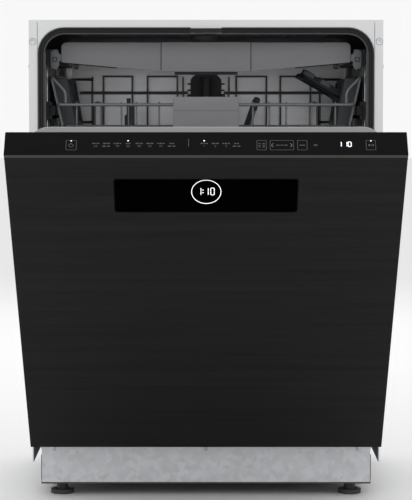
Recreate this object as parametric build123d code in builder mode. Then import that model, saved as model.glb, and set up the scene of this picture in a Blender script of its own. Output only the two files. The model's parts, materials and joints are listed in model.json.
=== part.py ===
"""Built-in dishwasher for a 600 mm niche, drawn with its door resting half open.

Millimetres. +X is to the right seen from the front, +Y to the rear, +Z up. The origin is at floor
level, mid-width, in the plane of the tub's front flange. The door's pieces are drawn with the door
closed and are then turned about the hinge pins to the half-open rest position.
"""
from build123d import *
import os

os.makedirs("parts", exist_ok=True)

# ---------------------------------------------------------------- overall sizes
WIDTH = 598                   # across the side panels
HEIGHT = 818                  # floor to the top of the front frame
DEPTH = 500                   # front flange to the back of the rear panel
SPIGOT = 14                   # length of the water connections behind the rear panel
SHEET = 2                     # wall of every folded or drawn sheet
PLASTIC = 3                   # wall of the moulded parts
GAP = 0.3                     # clearance between pieces that meet

# ---------------------------------------------------------------- tub and front frame
TUB_X = WIDTH / 2 - 24        # half width inside
TUB_BACK = DEPTH - 16
TUB_FLOOR = 190
TUB_TOP = HEIGHT - 21
TUB_CORNER = 37               # outside corner radius seen from the front
TUB_REAR_ROUND = 24
LIP = 4                       # how far the front opening is narrower than the tub
OPENING_CORNER = 33
GASKET_X = TUB_X + 9          # outer edge of the seal and of the tub flange
GASKET_TOP = HEIGHT - 12.4
GASKET_CORNER = 44
GASKET_THICK = 3.5
FLANGE_LOW = 176
FRAME_LOW = 166
FRAME_HOLE_R = 4.8
FRAME_HOLE_X = WIDTH / 2 - 6.6
FRAME_HOLE_Z = HEIGHT - 36.4
LEDGE_TOP = 212               # the shoulder that the lower wheels run on
LEDGE_X = TUB_X - 53
LEDGE_FRONT = 40

# ---------------------------------------------------------------- base and feet
TRAY_X = TUB_X + 9
TRAY_FRONT = 47
TRAY_LOW = 22
TRAY_HIGH = 72
FOOT_X = TUB_X - 25
FOOT_Y = (85, DEPTH - 45)
STEM_R = 5
PAD_R = 20
PAD_HIGH = 8
BOSS_R = 14

# ---------------------------------------------------------------- water system
ARM_CENTRE_Y = 245
PIPE_R = 12
SUMP = (110, 345)
SUMP_R = 85
SUMP_LOW = 100
SALT = (185, 80)
SALT_NECK_R = 26
PUMP_R = 42
PUMP_Z = 110
DRAIN_Z = 140
DRAIN_X = 225
DRAIN_R = 10
INLET_X = -190
INLET_Z = 98
INLET_R = 13.2
DUCT_X = 18
POWER_X = 160
POWER_Z = 42
GLAND_R = 9
SPRAY_R = 203                 # reach of both spray arms
LOWER_ARM_Z = 205
ARM_THICK = 12
HUB_BORE = 8.3
HUB_STUB = 8

# ---------------------------------------------------------------- door (drawn closed)
DOOR_FRONT = -56
DOOR_BACK = -4
DOOR_LOW = 100
DOOR_TOP = HEIGHT - 2
PANEL_X = WIDTH / 2 - 0.5
PANEL_DEEP = 20
FASCIA_X = WIDTH / 2 + 0.3
FASCIA_THICK = 4
STRIP_DEEP = 4.7
LINER_X = WIDTH / 2 - 3
LINER_LOW = 172
LINER_TOP = DOOR_TOP - 16
PLATEAU_X = TUB_X - 8.5
PLATEAU_BACK = 34
PLATEAU_LOW = TUB_FLOOR + 7
PLATEAU_TOP = TUB_TOP - 6
PLATEAU_CORNER = 31
PIVOT = (0, -26, DOOR_LOW + 52.3)
DOOR_REST = 45
PIN_R = 4
PIN_FIT = 0.05
BRACKET_X = TUB_X + 9.3
BRACKET_THICK = 4
POCKET_X = 137.5
POCKET_TOP = DOOR_TOP - 47
POCKET_LOW = DOOR_TOP - 120
STRIKER_X = 9
STRIKER_Z = GASKET_TOP - 6.6

# ---------------------------------------------------------------- racks
RACK_FRONT = 44
RACK_BACK = TUB_BACK - 15
RIM_R = 2.75
WIRE_R = 1.6
LAYER = 2 * WIRE_R + 0.1      # crossing wires lie in layers this far apart
UPPER_FLOOR = TUB_TOP - 197
UPPER_RIM = TUB_TOP - 75
UPPER_FRONT_RIM = TUB_TOP - 122
UPPER_BACK_RIM = TUB_TOP - 102
UPPER_RIM_X = TUB_X - 11
UPPER_FLOOR_X = TUB_X - 39
UPPER_ARM_Z = UPPER_FLOOR - 56
RAIL_Z = UPPER_FLOOR + 65
RAIL_HALF = 8
TRAY_TOP = TUB_TOP - 15.4
CUTLERY_X = TUB_X - 28.4
CUTLERY_FRONT = 41
CUTLERY_LOW = TUB_TOP - 66
CUTLERY_CENTRE = 76
LOWER_FLOOR = 246
LOWER_RIM = 400
LOWER_X = TUB_X - 32
WHEEL_R = 17
WHEEL_THICK = 9
WHEEL_Y = (RACK_FRONT + 41, RACK_BACK - 54)
AXLE_R = 3


# ---------------------------------------------------------------- helpers
def block(x, y, z, mode=Mode.ADD):
    """Adds a box given by its two limits on each axis."""
    with Locations(((x[0] + x[1]) / 2, (y[0] + y[1]) / 2, (z[0] + z[1]) / 2)):
        Box(abs(x[1] - x[0]), abs(y[1] - y[0]), abs(z[1] - z[0]), mode=mode)


def rod(start, end, radius, mode=Mode.ADD):
    """Adds a round bar between two points."""
    axis = Vector(*end) - Vector(*start)
    with BuildSketch(Plane(origin=start, z_dir=axis), mode=Mode.PRIVATE) as section:
        Circle(radius)
    extrude(section.sketch, amount=axis.length, mode=mode)


def profile_along_x(points, x_low, x_high, mode=Mode.ADD):
    """Adds a prism along X from its outline in (y, z)."""
    with BuildSketch(Plane.YZ.offset(x_low), mode=Mode.PRIVATE) as section:
        with BuildLine():
            Polyline(*points, close=True)
        make_face()
    extrude(section.sketch, amount=x_high - x_low, mode=mode)


def profile_along_y(points, y_low, y_high, mode=Mode.ADD):
    """Adds a prism along Y from its outline in (x, z)."""
    with BuildSketch(Plane.XZ.offset(-y_low), mode=Mode.PRIVATE) as section:
        with BuildLine():
            Polyline(*points, close=True)
        make_face()
    extrude(section.sketch, amount=y_low - y_high, mode=mode)


def rounded_frame(half_x, low, high, corner):
    """Adds a rounded rectangle, centred on x = 0, to a sketch in the XZ plane."""
    with Locations((0, (low + high) / 2)):
        RectangleRounded(2 * half_x, high - low, corner)


def wires(plane, points, radius, length):
    """Returns parallel straight wires that stand on a plane at the given points."""
    with BuildPart() as bundle:
        with BuildSketch(plane):
            with Locations(*points):
                Circle(radius)
        extrude(amount=length)
    return bundle.part.solids()


def spread(low, high, count):
    """Returns evenly spaced values from low to high."""
    return [low + (high - low) * i / (count - 1) for i in range(count)]


def along_y(points, radius, y_low, y_high):
    """Returns wires along Y through points in (x, z)."""
    return wires(Plane.XZ.offset(-y_low), points, radius, y_low - y_high)


def along_x(points, radius, x_low, x_high):
    """Returns wires along X through points in (y, z)."""
    return wires(Plane.YZ.offset(x_low), points, radius, x_high - x_low)


def along_z(points, radius, z_low, z_high):
    """Returns wires along Z through points in (x, y)."""
    return wires(Plane.XY.offset(z_low), points, radius, z_high - z_low)


def save(shape, name):
    """Labels a finished piece and writes it."""
    shape.label = name
    export_step(shape, f"parts/{name}.step")


def save_group(solids, name):
    """Writes separate solids of one sub-part together."""
    save(Compound(children=list(solids)), name)


def save_door(shape, name):
    """Turns a piece of the closed door to its rest angle and writes it."""
    save(shape.rotate(Axis(PIVOT, (1, 0, 0)), DOOR_REST), name)


# ================================================================ cabinet
with BuildPart() as tub:
    with BuildSketch(Plane.XZ):
        rounded_frame(TUB_X + SHEET, TUB_FLOOR - SHEET, TUB_TOP + SHEET, TUB_CORNER)
    extrude(amount=-(TUB_BACK + SHEET))
    fillet(tub.faces().sort_by(Axis.Y)[-1].edges(), TUB_REAR_ROUND)
    offset(amount=-SHEET, openings=tub.faces().sort_by(Axis.Y)[0])
    with BuildSketch(Plane.XZ):
        rounded_frame(GASKET_X, FLANGE_LOW, GASKET_TOP, GASKET_CORNER)
        with Locations((0, (TUB_FLOOR + TUB_TOP) / 2)):
            RectangleRounded(2 * (TUB_X - LIP), TUB_TOP - TUB_FLOOR - 3, OPENING_CORNER, mode=Mode.SUBTRACT)
    extrude(amount=-SHEET)
    with BuildSketch(Plane.XZ.offset(-LEDGE_FRONT)):
        rounded_frame(TUB_X, TUB_FLOOR, TUB_TOP, TUB_CORNER - SHEET)
        with Locations((0, LEDGE_TOP + HEIGHT / 2)):
            Rectangle(WIDTH, HEIGHT, mode=Mode.SUBTRACT)
        with Locations((0, LEDGE_TOP)):
            Rectangle(2 * LEDGE_X, HEIGHT, mode=Mode.SUBTRACT)
    extrude(amount=LEDGE_FRONT + TUB_REAR_ROUND - TUB_BACK)
    for centre, radius in (((0, ARM_CENTRE_Y), PIPE_R + 1), (SUMP, SUMP_R - 5), (SALT, SALT_NECK_R)):
        rod((*centre, TUB_FLOOR - 2 * SHEET), (*centre, TUB_FLOOR + 1), radius, Mode.SUBTRACT)
    rod((0, ARM_CENTRE_Y, TUB_TOP - 1), (0, ARM_CENTRE_Y, TUB_TOP + 2 * SHEET), HUB_BORE, Mode.SUBTRACT)
    rod((0, TUB_BACK - 1, TUB_TOP - 87), (0, TUB_BACK + 2 * SHEET, TUB_TOP - 87), HUB_BORE, Mode.SUBTRACT)
save(tub.part, "tub")

with BuildPart() as gasket:
    with BuildSketch(Plane.XZ):
        rounded_frame(GASKET_X - GAP, FLANGE_LOW + 3, GASKET_TOP - GAP, GASKET_CORNER)
        with Locations((0, (TUB_FLOOR + TUB_TOP) / 2)):
            RectangleRounded(2 * (TUB_X - LIP), TUB_TOP - TUB_FLOOR - 3, OPENING_CORNER, mode=Mode.SUBTRACT)
    extrude(amount=GASKET_THICK)
    fillet(gasket.faces().sort_by(Axis.Y)[0].edges(), 1)
    block((-27, 27), (-2 * GASKET_THICK, 1), (TUB_TOP - 20, HEIGHT), Mode.SUBTRACT)
save(gasket.part, "door_gasket")

with BuildPart() as front_frame:
    with BuildSketch(Plane.XZ):
        with Locations((0, (FRAME_LOW + HEIGHT) / 2)):
            Rectangle(WIDTH, HEIGHT - FRAME_LOW)
        with Locations((0, (GASKET_TOP + GAP + FRAME_LOW) / 2)):
            RectangleRounded(2 * (GASKET_X + GAP), GASKET_TOP + GAP - FRAME_LOW, GASKET_CORNER,
                             mode=Mode.SUBTRACT)
        with Locations((0, FRAME_LOW + GASKET_CORNER)):
            Rectangle(2 * (GASKET_X + GAP), 2 * GASKET_CORNER, mode=Mode.SUBTRACT)
        with Locations((-FRAME_HOLE_X, FRAME_HOLE_Z), (FRAME_HOLE_X, FRAME_HOLE_Z)):
            Circle(FRAME_HOLE_R, mode=Mode.SUBTRACT)
    extrude(amount=-SHEET)
save(front_frame.part, "front_frame")

with BuildPart() as side_panels:
    for side in (-1, 1):
        outer = side * WIDTH / 2
        profile_along_x([(SHEET + GAP, FRAME_LOW), (TRAY_FRONT, FRAME_LOW), (TRAY_FRONT, TRAY_HIGH - 12),
                         (DEPTH, TRAY_HIGH - 12), (DEPTH, HEIGHT - 4), (SHEET + GAP, HEIGHT - 4)],
                        min(outer, outer - side * SHEET), max(outer, outer - side * SHEET))
save(side_panels.part, "side_panels")

with BuildPart() as top_cover:
    block((-WIDTH / 2, WIDTH / 2), (SHEET + GAP, DEPTH), (HEIGHT - 4, HEIGHT - 2))
save(top_cover.part, "top_cover")

with BuildPart() as rear_panel:
    inner_x = WIDTH / 2 - SHEET - GAP
    block((-inner_x, inner_x), (DEPTH - SHEET, DEPTH), (TRAY_HIGH - 12, HEIGHT - 4 - GAP))
    for x, z, radius in ((INLET_X, INLET_Z, INLET_R + 1), (DRAIN_X, DRAIN_Z, DRAIN_R + 1)):
        rod((x, DEPTH - 2 * SHEET, z), (x, DEPTH + 1, z), radius, Mode.SUBTRACT)
save(rear_panel.part, "rear_panel")

with BuildPart() as base_tray:
    rear = DEPTH - SHEET - GAP
    block((-TRAY_X, TRAY_X), (TRAY_FRONT, rear), (TRAY_LOW, TRAY_HIGH))
    block((PLASTIC - TRAY_X, TRAY_X - PLASTIC), (TRAY_FRONT + PLASTIC, rear - PLASTIC),
          (TRAY_LOW + PLASTIC, TRAY_HIGH + 1), Mode.SUBTRACT)
    for x in (-FOOT_X, FOOT_X):
        for y in FOOT_Y:
            rod((x, y, TRAY_LOW), (x, y, TRAY_HIGH), BOSS_R)
            rod((x, y, TRAY_LOW - 1), (x, y, TRAY_HIGH + 1), STEM_R + GAP, Mode.SUBTRACT)
    rod((POWER_X, rear - PLASTIC - 1, POWER_Z), (POWER_X, rear + 1, POWER_Z), GLAND_R + GAP, Mode.SUBTRACT)
save(base_tray.part, "base_tray")

with BuildPart() as kick_plate:
    block((1 - TRAY_X, TRAY_X - 1), (TRAY_FRONT - SHEET, TRAY_FRONT), (TRAY_LOW + 3, DOOR_LOW - 3))
save(kick_plate.part, "kick_plate")

foot_names = {(-1, 0): "foot_front_left", (1, 0): "foot_front_right",
              (-1, 1): "foot_rear_left", (1, 1): "foot_rear_right"}
for (side, row), foot_name in foot_names.items():
    with BuildPart() as foot:
        x, y = side * FOOT_X, FOOT_Y[row]
        rod((x, y, 0), (x, y, PAD_HIGH), PAD_R)
        with BuildSketch(Plane.XY.offset(PAD_HIGH)):
            with Locations((x, y)):
                RegularPolygon(PAD_R / 2, 6)
        extrude(amount=TRAY_LOW - PAD_HIGH - GAP)
        rod((x, y, PAD_HIGH), (x, y, TRAY_HIGH + 10), STEM_R)
        fillet(foot.faces().sort_by(Axis.Z)[0].edges(), 1.5)
    save(foot.part, foot_name)

with BuildPart() as hinge_brackets:
    reach = PIN_R + 4.3
    profile_along_x([(PIVOT[1], PIVOT[2] - reach), (TRAY_FRONT + 85, TRAY_HIGH - 10),
                     (TRAY_FRONT + 85, PIVOT[2] + reach), (PIVOT[1], PIVOT[2] + reach)],
                    BRACKET_X, BRACKET_X + BRACKET_THICK)
    block((BRACKET_X - 1, BRACKET_X + BRACKET_THICK + 1), (DOOR_FRONT, TRAY_FRONT), (0, PIVOT[2] - reach),
          Mode.SUBTRACT)
    rod((BRACKET_X, *PIVOT[1:]), (BRACKET_X + BRACKET_THICK, *PIVOT[1:]), reach)
    rod((BRACKET_X - 7, *PIVOT[1:]), (BRACKET_X + BRACKET_THICK, *PIVOT[1:]), PIN_R)
    mirror(about=Plane.YZ)
save(hinge_brackets.part, "hinge_brackets")

SPRING_Z = TRAY_HIGH + 30
with BuildPart() as balance_springs:
    spring_x = TRAY_X - 14
    rod((spring_x, TRAY_FRONT + 100, SPRING_Z), (spring_x, TRAY_FRONT + 230, SPRING_Z), 7)
    rod((spring_x, TRAY_FRONT + 40, SPRING_Z), (spring_x, TRAY_FRONT + 260, SPRING_Z), 1.5)
    for y in (TRAY_FRONT + 40, TRAY_FRONT + 260):
        block((spring_x - 4, BRACKET_X - GAP), (y - 6, y + 6), (SPRING_Z - 6, SPRING_Z + 6))
    block((BRACKET_X - 12, TRAY_X), (TRAY_FRONT + 254, TRAY_FRONT + 266), (TRAY_HIGH, SPRING_Z))
    mirror(about=Plane.YZ)
save(balance_springs.part, "balance_springs")

# ---------------------------------------------------------------- water system
with BuildPart() as sump:
    rod((*SUMP, SUMP_LOW), (*SUMP, TUB_FLOOR - SHEET), SUMP_R)
    rod((*SUMP, SUMP_LOW + PLASTIC), (*SUMP, TUB_FLOOR), SUMP_R - PLASTIC, Mode.SUBTRACT)
    rod((*SUMP, SUMP_LOW + PLASTIC), (*SUMP, SUMP_LOW + 12), 20)
save(sump.part, "sump")

FILTER_R = 36
with BuildPart() as fine_filter:
    rod((*SUMP, TUB_FLOOR - 5), (*SUMP, TUB_FLOOR - SHEET), SUMP_R - PLASTIC - GAP)
    rod((*SUMP, TUB_FLOOR - SHEET), (*SUMP, TUB_FLOOR + 1), SUMP_R - 6)
    rod((*SUMP, TUB_FLOOR - 10), (*SUMP, TUB_FLOOR + 5), FILTER_R + GAP, Mode.SUBTRACT)
save(fine_filter.part, "fine_filter")

with BuildPart() as filter_cup:
    rod((*SUMP, SUMP_LOW + 12 + GAP), (*SUMP, TUB_FLOOR + 3), FILTER_R)
    rod((*SUMP, SUMP_LOW + 16), (*SUMP, TUB_FLOOR + 4), FILTER_R - PLASTIC, Mode.SUBTRACT)
    block((SUMP[0] - FILTER_R + 1, SUMP[0] + FILTER_R - 1), (SUMP[1] - 2, SUMP[1] + 2),
          (TUB_FLOOR - 20, TUB_FLOOR + 9))
save(filter_cup.part, "filter_cup")

with BuildPart() as circulation_pump:
    y = ARM_CENTRE_Y
    rod((-210, y, PUMP_Z), (-70, y, PUMP_Z), PUMP_R)
    rod((-70, y, PUMP_Z), (-PIPE_R - 6, y, PUMP_Z), 14)
    block((-170, -110), (y - 25, y + 25), (TRAY_LOW + PLASTIC, PUMP_Z - PUMP_R + 6))
    rod((0, y, PUMP_Z - 20), (0, y, LOWER_ARM_Z - 1), PIPE_R)
    block((-PIPE_R - 7, 0), (y - 9, y + 9), (PUMP_Z - 9, PUMP_Z + 9))
    rod((0, y, LOWER_ARM_Z - 2), (0, y, LOWER_ARM_Z + ARM_THICK + 1), HUB_STUB)
    rod((0, y, LOWER_ARM_Z + ARM_THICK + GAP), (0, y, LOWER_ARM_Z + ARM_THICK + 4), HUB_STUB + 3)
save(circulation_pump.part, "circulation_pump")

with BuildPart() as drain_pump:
    start = SUMP[0] + SUMP_R + GAP
    rod((start, SUMP[1], DRAIN_Z), (start + 60, SUMP[1], DRAIN_Z), 27)
    rod((DRAIN_X, SUMP[1], DRAIN_Z), (DRAIN_X, DEPTH, DRAIN_Z), DRAIN_R - 2)
    rod((DRAIN_X, DEPTH, DRAIN_Z), (DRAIN_X, DEPTH + SPIGOT, DRAIN_Z), DRAIN_R)
    rod((DRAIN_X, DEPTH - 20, DRAIN_Z), (DRAIN_X, DEPTH + SPIGOT + 1, DRAIN_Z), DRAIN_R - 3, Mode.SUBTRACT)
save(drain_pump.part, "drain_pump")

with BuildPart() as water_softener:
    block((95, TRAY_X - PLASTIC - 26), (TRAY_FRONT + 6, 225), (TRAY_LOW + PLASTIC, TUB_FLOOR - 40))
    fillet(water_softener.edges().filter_by(Axis.Z), 8)
    rod((*SALT, TUB_FLOOR - 41), (*SALT, TUB_FLOOR - SHEET), SALT_NECK_R + 4)
    rod((*SALT, TUB_FLOOR - 60), (*SALT, TUB_FLOOR), SALT_NECK_R, Mode.SUBTRACT)
    rod((FOOT_X, FOOT_Y[0], 0), (FOOT_X, FOOT_Y[0], TUB_FLOOR), BOSS_R + 2, Mode.SUBTRACT)
save(water_softener.part, "water_softener")

with BuildPart() as salt_cap:
    rod((*SALT, TUB_FLOOR + GAP), (*SALT, TUB_FLOOR + 11), SALT_NECK_R + 5)
    fillet(salt_cap.faces().sort_by(Axis.Z)[-1].edges(), 3)
    rod((*SALT, TUB_FLOOR - 16), (*SALT, TUB_FLOOR + 2), SALT_NECK_R - 1)
    block((SALT[0] - 22, SALT[0] + 22), (SALT[1] - 3, SALT[1] + 3), (TUB_FLOOR + 10, TUB_FLOOR + 15))
save(salt_cap.part, "salt_cap")

FLOAT = (-190, 75)
with BuildPart() as float_cap:
    rod((*FLOAT, TUB_FLOOR + GAP), (*FLOAT, TUB_FLOOR + 30), 18)
    fillet(float_cap.faces().sort_by(Axis.Z)[-1].edges(), 8)
    rod((*FLOAT, TUB_FLOOR - 1), (*FLOAT, TUB_FLOOR + 22), 14, Mode.SUBTRACT)
save(float_cap.part, "float_cap")

with BuildPart() as inlet_valve:
    block((INLET_X - 22, INLET_X + 22), (DEPTH - 65, DEPTH - SHEET - GAP), (TRAY_HIGH + GAP, INLET_Z + 24))
    block((INLET_X - 10, INLET_X + 10), (DEPTH - 60, DEPTH - 30), (TRAY_LOW + PLASTIC, INLET_Z))
    rod((INLET_X, DEPTH - 20, INLET_Z), (INLET_X, DEPTH, INLET_Z), INLET_R - 1)
    rod((INLET_X, DEPTH, INLET_Z), (INLET_X, DEPTH + SPIGOT, INLET_Z), INLET_R)
    rod((INLET_X, DEPTH - 20, INLET_Z), (INLET_X, DEPTH + SPIGOT + 1, INLET_Z), INLET_R - 4, Mode.SUBTRACT)
save(inlet_valve.part, "inlet_valve")

with BuildPart() as power_inlet:
    wall_inside = DEPTH - SHEET - GAP - PLASTIC
    block((POWER_X - 22, POWER_X + 22), (wall_inside - 35, wall_inside), (TRAY_LOW + PLASTIC, TRAY_HIGH - 14))
    rod((POWER_X, wall_inside - 5, POWER_Z), (POWER_X, DEPTH + SPIGOT - 4, POWER_Z), GLAND_R)
    rod((POWER_X, wall_inside - 30, POWER_Z), (POWER_X, DEPTH + SPIGOT, POWER_Z), 4, Mode.SUBTRACT)
save(power_inlet.part, "power_inlet")

with BuildPart() as water_duct:
    back = TUB_BACK + SHEET + GAP
    block((-DUCT_X, DUCT_X), (back, DEPTH - SHEET - GAP), (DRAIN_Z, TUB_TOP + 10))
    block((-DUCT_X, DUCT_X), (ARM_CENTRE_Y - 20, back + 1), (TUB_TOP + SHEET + GAP, TUB_TOP + 10))
    block((-PIPE_R + 2, PIPE_R - 2), (ARM_CENTRE_Y + PIPE_R + GAP, back + 1), (DRAIN_Z, DRAIN_Z + 20))
save(water_duct.part, "rear_water_duct")

with BuildPart() as spray_head:
    rod((0, ARM_CENTRE_Y, TUB_TOP - 11), (0, ARM_CENTRE_Y, TUB_TOP - GAP), 28)
    fillet(spray_head.faces().sort_by(Axis.Z)[0].edges(), 4)
    rod((0, ARM_CENTRE_Y, TUB_TOP - 5), (0, ARM_CENTRE_Y, TUB_TOP + SHEET + GAP), HUB_STUB)
save(spray_head.part, "ceiling_spray_head")

DOCK_Z = TUB_TOP - 87
with BuildPart() as feed_dock:
    dock_low, dock_high = TUB_TOP - 106, TUB_TOP - 68
    profile_along_y([(-29, dock_low), (29, dock_low), (29, dock_high - 9), (20, dock_high), (-20, dock_high),
                     (-29, dock_high - 9)], TUB_BACK - 13, TUB_BACK - GAP)
    block((-33, 33), (TUB_BACK - 10, TUB_BACK - GAP), (dock_low - 5, dock_low + 2))
    rod((0, TUB_BACK - 14, DOCK_Z), (0, TUB_BACK, DOCK_Z), 7, Mode.SUBTRACT)
save(feed_dock.part, "upper_feed_dock")

# ---------------------------------------------------------------- rails in the tub
with BuildPart() as rail_channels:
    block((TUB_X - 12, TUB_X - GAP), (RACK_FRONT - 2, RACK_BACK - 10), (RAIL_Z - 15, RAIL_Z + 15))
    block((TUB_X - 13, TUB_X - 7), (RACK_FRONT - 3, RACK_BACK),
          (RAIL_Z - RAIL_HALF - GAP, RAIL_Z + RAIL_HALF + GAP), Mode.SUBTRACT)
    mirror(about=Plane.YZ)
save(rail_channels.part, "upper_rail_channels")

with BuildPart() as rail_slides:
    block((TUB_X - 16.7, TUB_X - 7 - GAP), (RACK_FRONT + 6, RACK_BACK - 30),
          (RAIL_Z - RAIL_HALF, RAIL_Z + RAIL_HALF))
    mirror(about=Plane.YZ)
save(rail_slides.part, "upper_rail_slides")

HEX_X = TUB_X - 17.2
HEX_Z = TUB_TOP - 42
with BuildPart() as tray_rails:
    block((TUB_X - 24, TUB_X - 1), (CUTLERY_FRONT, RACK_BACK - 10), (HEX_Z - 14, HEX_Z + 14))
    block((TUB_X - 25, TUB_X - 17), (CUTLERY_FRONT - 1, RACK_BACK), (HEX_Z - 8, HEX_Z + 8), Mode.SUBTRACT)
    mirror(about=Plane.YZ)
save(tray_rails.part, "tray_rails")

with BuildPart() as end_caps:
    half_x, half_z, shoulder = 9.2, 18, 8
    profile_along_y([(HEX_X, HEX_Z + half_z), (HEX_X + half_x, HEX_Z + shoulder),
                     (HEX_X + half_x, HEX_Z - shoulder), (HEX_X, HEX_Z - half_z),
                     (HEX_X - half_x, HEX_Z - shoulder), (HEX_X - half_x, HEX_Z + shoulder)],
                    CUTLERY_FRONT - 4, CUTLERY_FRONT - GAP)
    block((HEX_X - 3, HEX_X + 3), (CUTLERY_FRONT - 5, CUTLERY_FRONT - 2), (HEX_Z - 3, HEX_Z + 3),
          Mode.SUBTRACT)
    mirror(about=Plane.YZ)
save(end_caps.part, "rail_end_caps")

with BuildPart() as striker:
    block((-26, 26), (DOOR_BACK + GAP, -GAP), (STRIKER_Z - 3, STRIKER_Z + 5))
    for x in (-STRIKER_X, STRIKER_X):
        block((x - 2, x + 2), (-18, DOOR_BACK + 1), (STRIKER_Z - 2, STRIKER_Z + 2))
    block((-STRIKER_X - 2, STRIKER_X + 2), (-18, -15), (STRIKER_Z - 2, STRIKER_Z + 2))
save(striker.part, "latch_striker")

# ================================================================ door
with BuildPart() as front_panel:
    block((-PANEL_X, PANEL_X), (DOOR_FRONT, DOOR_FRONT + PANEL_DEEP), (DOOR_LOW, DOOR_TOP - FASCIA_THICK))
    fillet(front_panel.faces().sort_by(Axis.Y)[0].edges().filter_by(Axis.Z), 1.5)
    block((SHEET - PANEL_X, PANEL_X - SHEET), (DOOR_FRONT + SHEET, DOOR_FRONT + PANEL_DEEP + 1),
          (DOOR_LOW + SHEET, DOOR_TOP - FASCIA_THICK - SHEET), Mode.SUBTRACT)
    with BuildSketch(Plane.XZ.offset(-DOOR_FRONT + 1)):
        rounded_frame(POCKET_X, POCKET_LOW, POCKET_TOP, 5)
    extrude(amount=-SHEET - 2, mode=Mode.SUBTRACT)
save_door(front_panel.part, "door_front_panel")

POCKET_SLOPE = [(DOOR_FRONT - 1, POCKET_LOW + SHEET), (DOOR_FRONT + 2, POCKET_LOW + SHEET),
                (DOOR_FRONT + 14, POCKET_TOP - SHEET), (DOOR_FRONT + 14, POCKET_TOP + 18),
                (DOOR_FRONT + 8, POCKET_TOP + 18), (DOOR_FRONT + 8, POCKET_TOP - SHEET),
                (DOOR_FRONT - 1, POCKET_TOP - SHEET)]
with BuildPart() as pocket:
    with BuildSketch(Plane.XZ.offset(-DOOR_FRONT - GAP)):
        rounded_frame(POCKET_X - GAP, POCKET_LOW + GAP, POCKET_TOP - GAP, 5)
    extrude(amount=-16)
    block((GAP - POCKET_X, POCKET_X - GAP), (DOOR_FRONT + 6, DOOR_FRONT + 16 + GAP),
          (POCKET_TOP - 5, POCKET_TOP + 20))
    profile_along_x(POCKET_SLOPE, PLASTIC - POCKET_X, POCKET_X - PLASTIC, Mode.SUBTRACT)
save_door(pocket.part, "handle_pocket")

slope_rise = POCKET_TOP - POCKET_LOW - 2 * SHEET
slope_run = 12
DISPLAY_Z = POCKET_LOW + 45
display_y = DOOR_FRONT + 2 + slope_run * (DISPLAY_Z - POCKET_LOW - SHEET) / slope_rise
with BuildPart() as pocket_display:
    with BuildSketch(Plane(origin=(0, display_y, DISPLAY_Z), x_dir=(1, 0, 0),
                           z_dir=(0, -slope_rise, slope_run))):
        Circle(26)
    extrude(amount=0.8)
save_door(pocket_display.part, "pocket_display")

with BuildPart() as accent_strip:
    block((-PANEL_X, PANEL_X), (DOOR_FRONT, DOOR_FRONT + STRIP_DEEP), (DOOR_TOP - FASCIA_THICK, DOOR_TOP))
    fillet(accent_strip.faces().sort_by(Axis.Y)[0].edges().group_by(Axis.Z)[-1], 1)
save_door(accent_strip.part, "accent_strip")

with BuildPart() as fascia:
    fascia_low = DOOR_TOP - 19
    block((-FASCIA_X, FASCIA_X), (DOOR_FRONT + STRIP_DEEP, DOOR_BACK), (DOOR_TOP - FASCIA_THICK, DOOR_TOP))
    fillet(fascia.edges().filter_by(Axis.Z), 1.5)
    for side in (-1, 1):
        block((side * (FASCIA_X - PLASTIC), side * FASCIA_X), (DOOR_FRONT + PANEL_DEEP + GAP, DOOR_BACK),
              (fascia_low, DOOR_TOP - FASCIA_THICK))
    block((-FASCIA_X, FASCIA_X), (DOOR_BACK - PLASTIC, DOOR_BACK), (LINER_TOP + GAP, DOOR_TOP - FASCIA_THICK))
    block((-STRIKER_X - 5, STRIKER_X + 5), (DOOR_BACK - 5, DOOR_BACK + 1), (LINER_TOP - 1, STRIKER_Z + 5),
          Mode.SUBTRACT)
save_door(fascia.part, "fascia")

with BuildPart() as liner:
    block((-LINER_X, LINER_X), (DOOR_FRONT + PANEL_DEEP + GAP, DOOR_BACK), (LINER_LOW, LINER_TOP))
    block((SHEET - LINER_X, LINER_X - SHEET), (DOOR_FRONT, DOOR_BACK - SHEET),
          (LINER_LOW + SHEET, LINER_TOP + 1), Mode.SUBTRACT)
    with BuildSketch(Plane.XZ.offset(-DOOR_BACK + SHEET)):
        rounded_frame(PLATEAU_X, PLATEAU_LOW, PLATEAU_TOP, PLATEAU_CORNER)
    extrude(amount=DOOR_BACK - SHEET - PLATEAU_BACK)
    fillet(liner.faces().sort_by(Axis.Y)[-1].edges(), 2.4 * SHEET)
    with BuildSketch(Plane.XZ.offset(-DOOR_BACK + SHEET)):
        rounded_frame(PLATEAU_X - SHEET, PLATEAU_LOW + SHEET, PLATEAU_TOP - SHEET, PLATEAU_CORNER - SHEET)
    extrude(amount=DOOR_BACK - PLATEAU_BACK, mode=Mode.SUBTRACT)
    block((-STRIKER_X - 5, STRIKER_X + 5), (DOOR_BACK - 5, DOOR_BACK + 1), (STRIKER_Z - 5, LINER_TOP + 1),
          Mode.SUBTRACT)
    for side in (-1, 1):
        block((side * (BRACKET_X - 8), side * (BRACKET_X)), (PIVOT[1] - 10, PIVOT[1] + 10),
              (LINER_LOW - 1, LINER_LOW + SHEET + 1), Mode.SUBTRACT)
    block((-5, 155), (PLATEAU_BACK - 5, PLATEAU_BACK + 1), (445, 585), Mode.SUBTRACT)
save_door(liner.part, "door_liner")

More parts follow.
